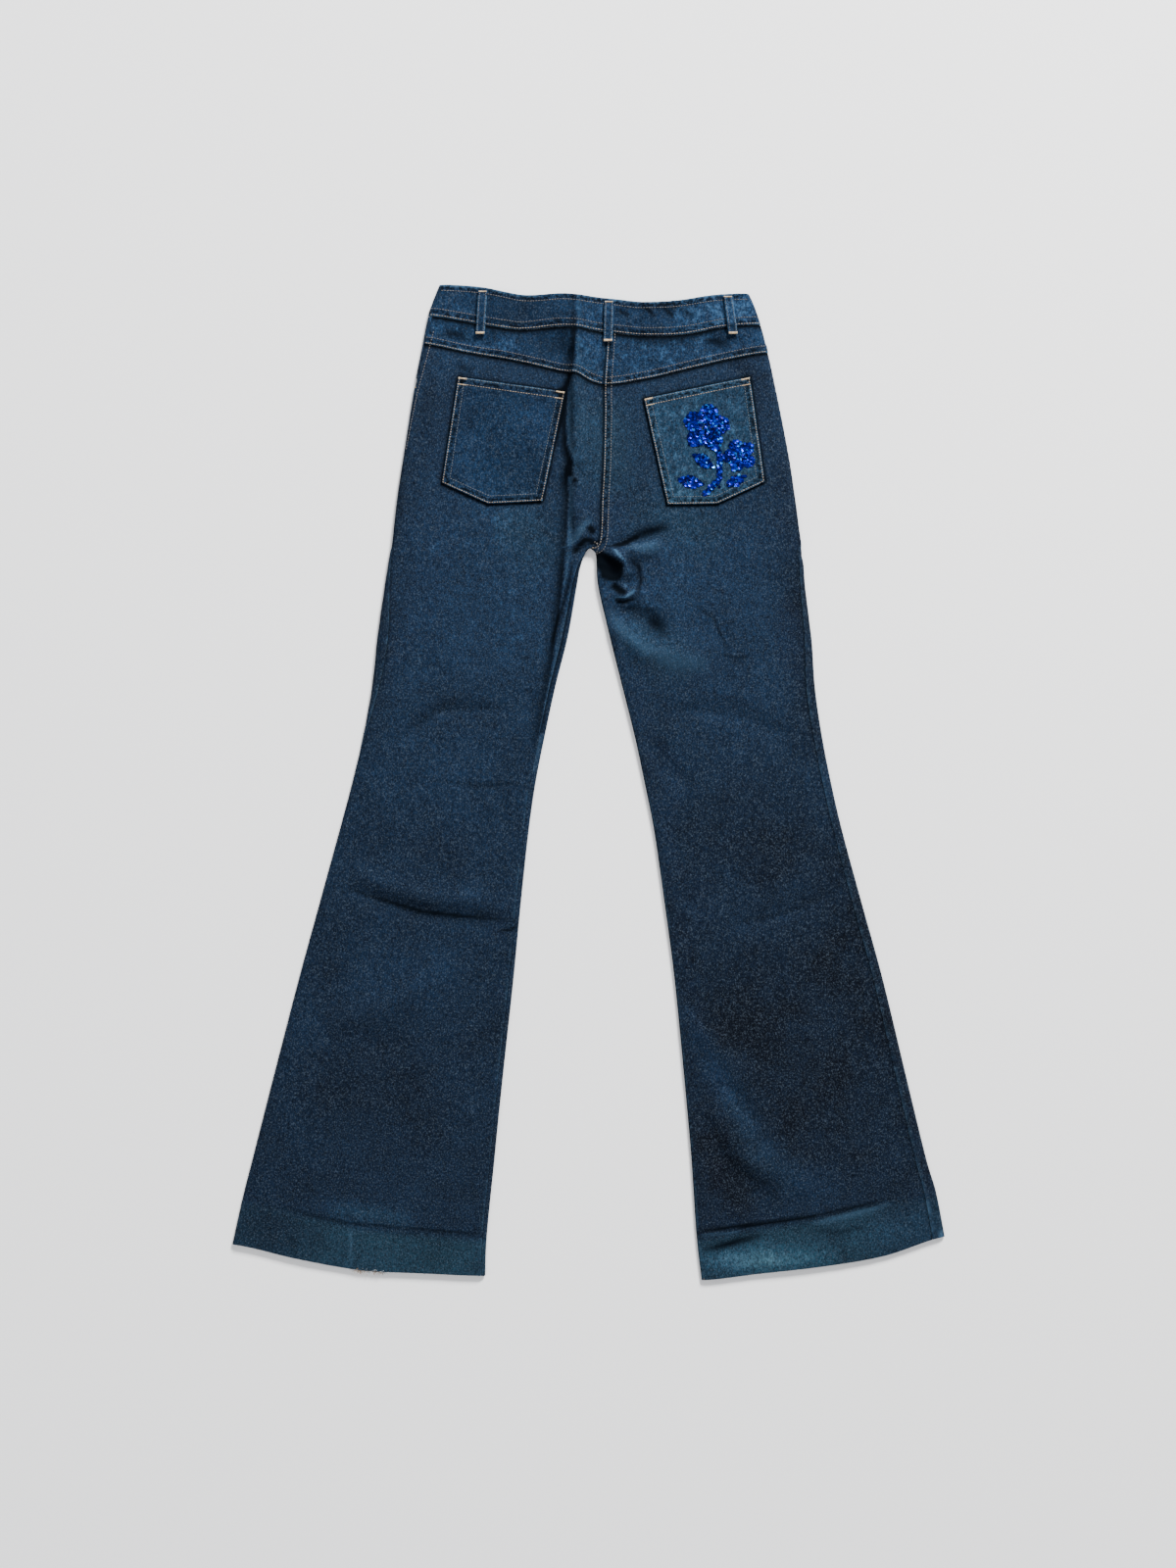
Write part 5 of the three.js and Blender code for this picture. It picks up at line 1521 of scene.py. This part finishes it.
def section_path(side, layer, name, end):
    """(x, y) along a section of a layer, from the side to the centre."""
    at = section_at(side, np.full(60, float(station(name))))
    outline = back_outline if layer == "back" else front_outline
    return np.stack(outline(at, at[f"{layer}_width"] * np.linspace(0.012, end, 60)), axis=1)


def moved(path, distance):
    """A path moved sideways, to the left of its direction."""
    step = np.gradient(path, axis=0)
    step /= np.maximum(np.linalg.norm(step, axis=1, keepdims=True), 1e-9)
    return path + np.stack([-step[:, 1], step[:, 0]], axis=1) * distance


def sew_back(tree):
    """Double rows of the yoke and of the centre-back seam."""
    edge_rows = []
    inner_rows = []
    for side, up in (("left", 1), ("right", -1)):
        seam = section_path(side, "back", "yoke_seam", 0.985)
        edge_rows += sew(tree, moved(seam, up * EDGE_ROW))
        inner_rows += sew(tree, moved(seam, up * (EDGE_ROW + ROW_GAP)), 0.8)
    at = section_at("right", np.linspace(station("band_bottom") + 0.02, station("fork") + 0.9, 200))
    centre = np.stack([at["inner"], at["y_4"]], axis=1)
    edge_rows += sew(tree, moved(centre, EDGE_ROW))
    inner_rows += sew(tree, moved(centre, EDGE_ROW + ROW_GAP))
    return edge_rows, inner_rows


def sew_band(tree):
    """Two rows along the band's lower edge and one below its top, on both layers."""
    edge_rows = []
    inner_rows = []
    for side, up in (("left", 1), ("right", -1)):
        for layer, end in (("back", 1), ("front", 1.05)):
            seen = layer == "back"
            bottom = section_path(side, layer, "band_bottom", end)
            top = section_path(side, layer, "band_top", end)
            edge_rows += sew(tree, moved(bottom, up * BAND_EDGE_ROW), from_above=seen)
            inner_rows += sew(tree, moved(bottom, up * BAND_INNER_ROW), 0.8, from_above=seen)
            inner_rows += sew(tree, moved(top, -up * BAND_TOP_ROW), from_above=seen)
    return edge_rows, inner_rows


def inset(corners, distance):
    """A closed outline's corners moved in by a distance."""
    corners = np.asarray(corners, float)
    middle = corners.mean(axis=0)
    result = []
    for before, corner, after in zip(np.roll(corners, 1, axis=0), corners, np.roll(corners, -1, axis=0)):
        normals = []
        for a, b in ((before, corner), (corner, after)):
            step = (b - a) / np.linalg.norm(b - a)
            normal = np.array([-step[1], step[0]])
            normals.append(normal if np.dot(middle - a, normal) > 0 else -normal)
        bisector = normals[0] + normals[1]
        result.append(corner + bisector * distance * 2 / np.dot(bisector, bisector))
    return np.array(result)


def sew_pockets(tree):
    """Double rows round the pockets, their hems' rows and the tacks at their upper corners."""
    edge_rows = []
    inner_rows = []
    tacks = []
    for corners in POCKET_CORNERS.values():
        outer = inset(corners, POCKET_EDGE_ROW)
        inner = inset(corners, POCKET_INNER_ROW)
        hem = (POCKET_HEM_ROW - POCKET_EDGE_ROW) / POCKET_LENGTH
        edge_rows += sew(tree, outer[[1, 2, 3, 4, 0]], 0.95, 2.3, 2.9)
        edge_rows += sew(tree, [lerp(outer[0], outer[4], hem), lerp(outer[1], outer[2], hem)])
        inner_rows += sew(tree, outer[:2])
        tops = lerp(inner[:2], outer[:2], POCKET_EDGE_ROW / POCKET_INNER_ROW)
        inner_rows += sew(tree, [tops[1], *inner[2:], tops[0]], 0.7)
        for start, end, below in ((0, 1, 4), (1, 0, 2)):
            direction = np.subtract(corners[end], corners[start])
            angle = math.atan2(direction[1], direction[0])
            inward = direction / np.linalg.norm(direction) * 4.2
            low = lerp(outer[start], outer[below], 7 / POCKET_LENGTH)
            tacks += tack(tree, outer[start] + inward, angle, 9.5, 2.2)
            tacks += tack(tree, low + inward, angle, 9, 1.4)
    return edge_rows, inner_rows, tacks


def sew_loops(tree):
    rows = []
    tacks = []
    for top_x, top_y, bottom_x, bottom_y in BACK_LOOPS.values():
        for offset in (-LOOP_WIDTH / 2 + 1.7, LOOP_WIDTH / 2 - 1.7):
            path = [(top_x + offset, top_y - 3), (bottom_x + offset, bottom_y + 4)]
            rows += sew(tree, path, 0.7, 2.1, 2.7)
        tacks += tack(tree, np.array([top_x, top_y - 1.8]), 0, 8.5, 1.8)
        tacks += tack(tree, np.array([bottom_x, bottom_y + 2.2]), 0, 9.3, 3.2)
    return rows, tacks


def sew_side(tree):
    """The side seam's row over the left hip, and the tack that ends the front pocket."""
    start = station("band_bottom") + SEWN_BELOW_BAND
    at = section_at("left", np.linspace(start, station("pocket_top") + 0.9, 200))
    from_side = rolled(np.maximum(at["seam"] + 1.6, 0), OUTER_ROLL)[0]
    row = sew(tree, np.stack([at["outer"] + from_side, at["y_2"]], axis=1))
    return row, tack(tree, np.array(SIDE_TACK), math.radians(100), 7, 3)


def sew_front(tree):
    """On the hidden front: the curved fly rows and the pocket openings."""
    start = station("band_bottom") + SEWN_BELOW_BAND
    s = np.linspace(start + 0.03, station("hip") + 0.4, 60)
    at = section_at("left", s)
    reach = FLY_ROW * np.sqrt(np.clip(1 - ((s - s[0]) / (s[-1] - s[0])) ** 6, 0, 1))
    paths = [front_outline(at, at["front_width"] - np.maximum(reach - gap, 1.2)) for gap in (0, ROW_GAP)]
    paths.append(front_outline(at, at["front_width"] - 1.5))
    s = np.linspace(start, station("pocket_top") - 0.03, 80)
    for side in ("left", "right"):
        at = section_at(side, s)
        paths += [front_outline(at, UNDER_ROLL + scoop_edge(s) + gap) for gap in (1.5, 8)]
    rows = []
    for path in paths:
        rows += sew(tree, np.stack(path, axis=1), from_above=False)
    return rows


def build_sewing():
    def tree_from(*keys):
        return tree_of(*(cloth[key][0] for key in keys))

    shell = tree_from("leg_left", "leg_right", "yoke_left", "yoke_right")
    edge_rows, inner_rows = sew_back(shell)
    side_row, side_tack = sew_side(shell)
    band_edge, band_inner = sew_band(tree_from("band"))
    pocket_edge, pocket_inner, pocket_tacks = sew_pockets(tree_from("pocket_left", "pocket_right"))
    loop_rows, loop_tacks = sew_loops(tree_from(*(f"loop_{name}" for name in BACK_LOOPS)))
    front_rows = sew_front(tree_from("front_left", "front_right"))
    stitch_mesh("stitches_edge", edge_rows + band_edge + pocket_edge, THREAD, "thread")
    stitch_mesh("stitches_inner", inner_rows + band_inner, FINE_THREAD, "thread")
    stitch_mesh("stitches_pockets", pocket_inner, FADED_THREAD, "thread")
    stitch_mesh("stitches_loops", loop_rows + side_row, FINE_THREAD, "thread")
    stitch_mesh("stitches_front", front_rows, THREAD, "thread")
    stitch_mesh("bartacks", pocket_tacks + loop_tacks + side_tack, TACK_THREAD, "bartack")


build_sewing()


# Sequins on the right pocket: two blooms and a leafy stem, of our own design


def in_motif(x, y):
    inside = np.zeros(x.shape, bool)
    for cx, cy, radius, petals, turn in BLOOMS:
        distance = np.hypot(x - cx, y - cy)
        angle = np.arctan2(y - cy, x - cx) - math.radians(turn)
        edge = radius * (0.66 + 0.34 * np.abs(np.cos(petals * angle / 2)))
        inside |= (distance < edge) & (distance > 0.2 * radius)
        inside |= distance < 0.1 * radius
    for start, end in zip(STEM, STEM[1:]):
        inside |= from_segment(start, end, x, y)[0] < STEM_WIDTH / 2
    for cx, cy, length, half_width, turn in LEAVES:
        angle = math.radians(turn)
        along = (x - cx) * math.cos(angle) + (y - cy) * math.sin(angle)
        across = -(x - cx) * math.sin(angle) + (y - cy) * math.cos(angle)
        bend = np.clip(0.6 * math.pi * along / length, -1.57, 1.57)
        inside |= np.abs(across) < half_width * np.cos(bend)
    return inside


def build_sequins():
    rng = np.random.default_rng(SEED + 1)
    tree = tree_of(cloth["pocket_right"][0])
    xs = np.arange(*MOTIF_X, SEQUIN_SPACING)
    ys = np.arange(*MOTIF_Y, SEQUIN_SPACING * 0.86)
    x, y = np.meshgrid(xs, ys)
    x = x + (np.arange(len(ys)) % 2 * SEQUIN_SPACING / 2)[:, None]
    x = x + rng.uniform(-SEQUIN_SHIFT, SEQUIN_SHIFT, x.shape)
    y = y + rng.uniform(-SEQUIN_SHIFT, SEQUIN_SHIFT, y.shape)
    chosen = in_motif(x, y)
    points = []
    faces = []
    glints = []
    for px, py in zip(x[chosen], y[chosen]):
        hit, _ = land(tree, px, py)
        if hit is None:
            continue
        normal = Vector((*rng.normal(0, SEQUIN_TILT, 2), 1)).normalized()
        across = normal.orthogonal().normalized()
        along = normal.cross(across)
        centre = hit + normal * (0.45 + 0.35 * rng.random()) * MM
        radius = SEQUIN_RADIUS * MM * rng.uniform(0.92, 1.05)
        first = len(points)
        points.append(centre - normal * 0.12 * MM)
        for k in range(SEQUIN_SIDES):
            angle = 2 * math.pi * k / SEQUIN_SIDES
            points.append(centre + (across * math.cos(angle) + along * math.sin(angle)) * radius)
            faces.append([first, first + 1 + k, first + 1 + (k + 1) % SEQUIN_SIDES])
        glints += [rng.random() ** 1.6] * (SEQUIN_SIDES + 1)
    flat = np.array(points) / MM - CENTRE
    obj = mesh_object("sequins", flat, faces, np.zeros(len(faces), bool), [sequin_material()])
    add_values(obj, glint=glints)
    dress(obj, "sequin")


build_sequins()


# Frayed hem


def strand(start, direction, length, curl, rng):
    """Points of one loose thread."""
    points = [np.array(start, float)]
    heading = np.array(direction, float)
    for _ in range(5):
        heading = heading + rng.normal(0, curl, 3) * np.array([1, 1, 0.35])
        heading /= np.linalg.norm(heading)
        points.append(points[-1] + heading * length / 5)
    for point in points:
        point[2] = max(point[2], 0.3)
    return points


def tube(points, radius):
    """A thin three-sided tube along some points."""
    rings = []
    for i, point in enumerate(points):
        ahead = points[min(i + 1, len(points) - 1)] - points[max(i - 1, 0)]
        ahead = ahead / max(np.linalg.norm(ahead), 1e-9)
        across = np.cross(ahead, (0, 0, 1))
        across /= max(np.linalg.norm(across), 1e-9)
        up = np.cross(across, ahead)
        for k in range(3):
            angle = 2 * math.pi * k / 3
            rings.append(point + (across * math.cos(angle) + up * math.sin(angle)) * radius)
    faces = []
    for i in range(len(points) - 1):
        for k in range(3):
            a, b = 3 * i + k, 3 * i + (k + 1) % 3
            faces += [[a, b, b + 3], [a, b + 3, a + 3]]
    return rings, faces


def fray_roots(side, count, rng):
    """Where threads come out of a hem, with more of them in the left hem's frayed stretch."""
    at = section_at(side, np.full(count, float(LAST)))
    x, y = back_outline(at, at["back_width"] * rng.uniform(0.01, 0.99, count))
    if side == "left":
        x = np.concatenate([x, rng.uniform(*FRAYED_STRETCH, STRETCH_COUNT)])
        at = section_at(side, np.full(len(x), float(LAST)))
        y = back_outline(at, np.abs(x - at["outer"]))[1]
    return zip(x, y)


def build_fray():
    rng = np.random.default_rng(SEED + 2)
    for name, (count, dark, light) in FRAY_THREADS.items():
        points = []
        faces = []
        for side in ("left", "right"):
            for x, y in fray_roots(side, count, rng):
                frayed = side == "left" and FRAYED_STRETCH[0] < x < FRAYED_STRETCH[1]
                level = rng.uniform(0.5, 4.6)
                heading = (rng.normal(0, 1), rng.uniform(-1.2, 0.15), rng.normal(0, 0.15))
                length = rng.uniform(2, 7) if frayed else rng.uniform(0.8, 2.6)
                root = (x, y + (0.6 if frayed else 0.3), level)
                rings, strips = tube(strand(root, heading, length, 0.45, rng), 0.17 if frayed else 0.12)
                faces += [[len(points) + i for i in f] for f in strips]
                points += rings
        material = thread_material(name, srgb(*dark), srgb(*light))
        dress(mesh_object(name, points, faces, None, [material]), "fray")


build_fray()


# Metal: the button's head, the zip slider and the zip's teeth


def turned_mesh(profile, x, y, sides=40):
    """A turned shape from (radius, z) pairs, about an upright axis at (x, y)."""
    points = []
    faces = []
    size = len(profile)
    for k in range(sides):
        angle = 2 * math.pi * k / sides
        points += [(x + r * math.cos(angle), y + r * math.sin(angle), z) for r, z in profile]
        first, after = k * size, (k + 1) % sides * size
        faces += [[first + i, after + i, after + i + 1, first + i + 1] for i in range(size - 1)]
    return points, faces


def build_metal():
    brass = brass_material()
    points, faces = turned_mesh(BUTTON_PROFILE, CENTRE_FRONT, BUTTON_Y)
    dress(mesh_object("waist_button_head", points, faces, None, [brass]), "brass", "waist_button")
    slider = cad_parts["zip_slider"].data
    slider.materials.clear()
    slider.materials.append(brass)
    points = []
    faces = []
    box = [[0, 1, 2, 3], [7, 6, 5, 4], [0, 4, 5, 1], [1, 5, 6, 2], [2, 6, 7, 3], [3, 7, 4, 0]]
    square = ((-1, -1), (1, -1), (1, 1), (-1, 1))
    levels = (TAPE_UNDERSIDE - TOOTH_PROUD, TAPE_UNDERSIDE + TAPE_CLOTH + TOOTH_PROUD)
    for n, y in enumerate(np.arange(ZIP_BOTTOM + 4, SLIDER_Y - 14, TOOTH_PITCH)):
        x = float(front_edge_x(y)) + (-1.1 if n % 2 else 1.1)
        faces += [[len(points) + i for i in face] for face in box]
        points += [(x + a * 1.7, y + b * 0.5, z) for z in levels for a, b in square]
    dress(mesh_object("zip_teeth", points, faces, np.zeros(len(faces), bool), [brass]), "brass")


build_metal()


# The flat size and area of each sheet, worked out but not kept


def cut_size(points, allowance=0):
    """Width, length and area of a panel flat, from its size along the cloth plus the allowance."""
    down = np.linalg.norm(np.diff(points, axis=0), axis=2).sum(axis=0)
    over = np.linalg.norm(np.diff(points, axis=1), axis=2).sum(axis=1)
    width, length = over.max() + 2 * allowance, np.median(down) + 2 * allowance
    along = np.diff(points, axis=0)[:, :-1]
    across = np.diff(points, axis=1)[:-1]
    area = np.linalg.norm(np.cross(along, across), axis=2).sum()
    area += allowance * 2 * (over.mean() + np.median(down))
    return (width * MM, length * MM), area * MM * MM


def declare_sheets():
    rests = {"leg": "front_leg", "yoke": "front_leg", "facing": "front_leg", "pocket": "back_leg"}
    for key, (obj, points) in cloth.items():
        kind, _, side = key.partition("_")
        if kind == "front" or kind in rests:
            flat, area = cut_size(points, SEAM_ALLOWANCE if kind in ("leg", "front") else 0)
    band, points = cloth["band"]
    flat, area = cut_size(points)


declare_sheets()


# Floor, light and camera


def build_floor():
    corners = ((-1, -1), (1, -1), (1, 1), (-1, 1))
    points = [(a * FLOOR_HALF_SIDE, b * FLOOR_HALF_SIDE, FLOOR_Z) for a, b in corners]
    material, tree, shader = make_material("floor")
    look = {"Base Color": FLOOR_COLOUR, "Roughness": 0.9, "Specular IOR Level": 0.1}
    fill_inputs(tree, shader, look)
    mesh_object("floor", points, [[0, 1, 2, 3]], None, [material])


def area_light(name, energy, size, place, aim):
    light = bpy.data.lights.new(name, "AREA")
    light.energy = energy
    light.size = size
    obj = bpy.data.objects.new(name, light)
    obj.location = place
    obj.rotation_euler = (Vector(aim) - Vector(place)).to_track_quat("-Z", "Y").to_euler()
    bpy.context.scene.collection.objects.link(obj)


def build_camera():
    data = bpy.data.cameras.new("camera")
    data.lens = LENS
    data.sensor_width = SENSOR
    camera = bpy.data.objects.new("camera", data)
    camera.location = (*VIEW_CENTRE, TOP_OF_CLOTH + PHOTO_LONG_SIDE / SENSOR * LENS)
    bpy.context.scene.collection.objects.link(camera)
    bpy.context.scene.camera = camera


def build_world():
    world = bpy.data.worlds.new("studio")
    world.use_nodes = True
    tree = world.node_tree
    fill_inputs(tree, tree.nodes["Background"], {"Color": SKY_COLOUR, "Strength": SKY_STRENGTH})
    bpy.context.scene.world = world


build_floor()
for light_name, light_values in LIGHTS.items():
    area_light(light_name, *light_values)
build_camera()
build_world()
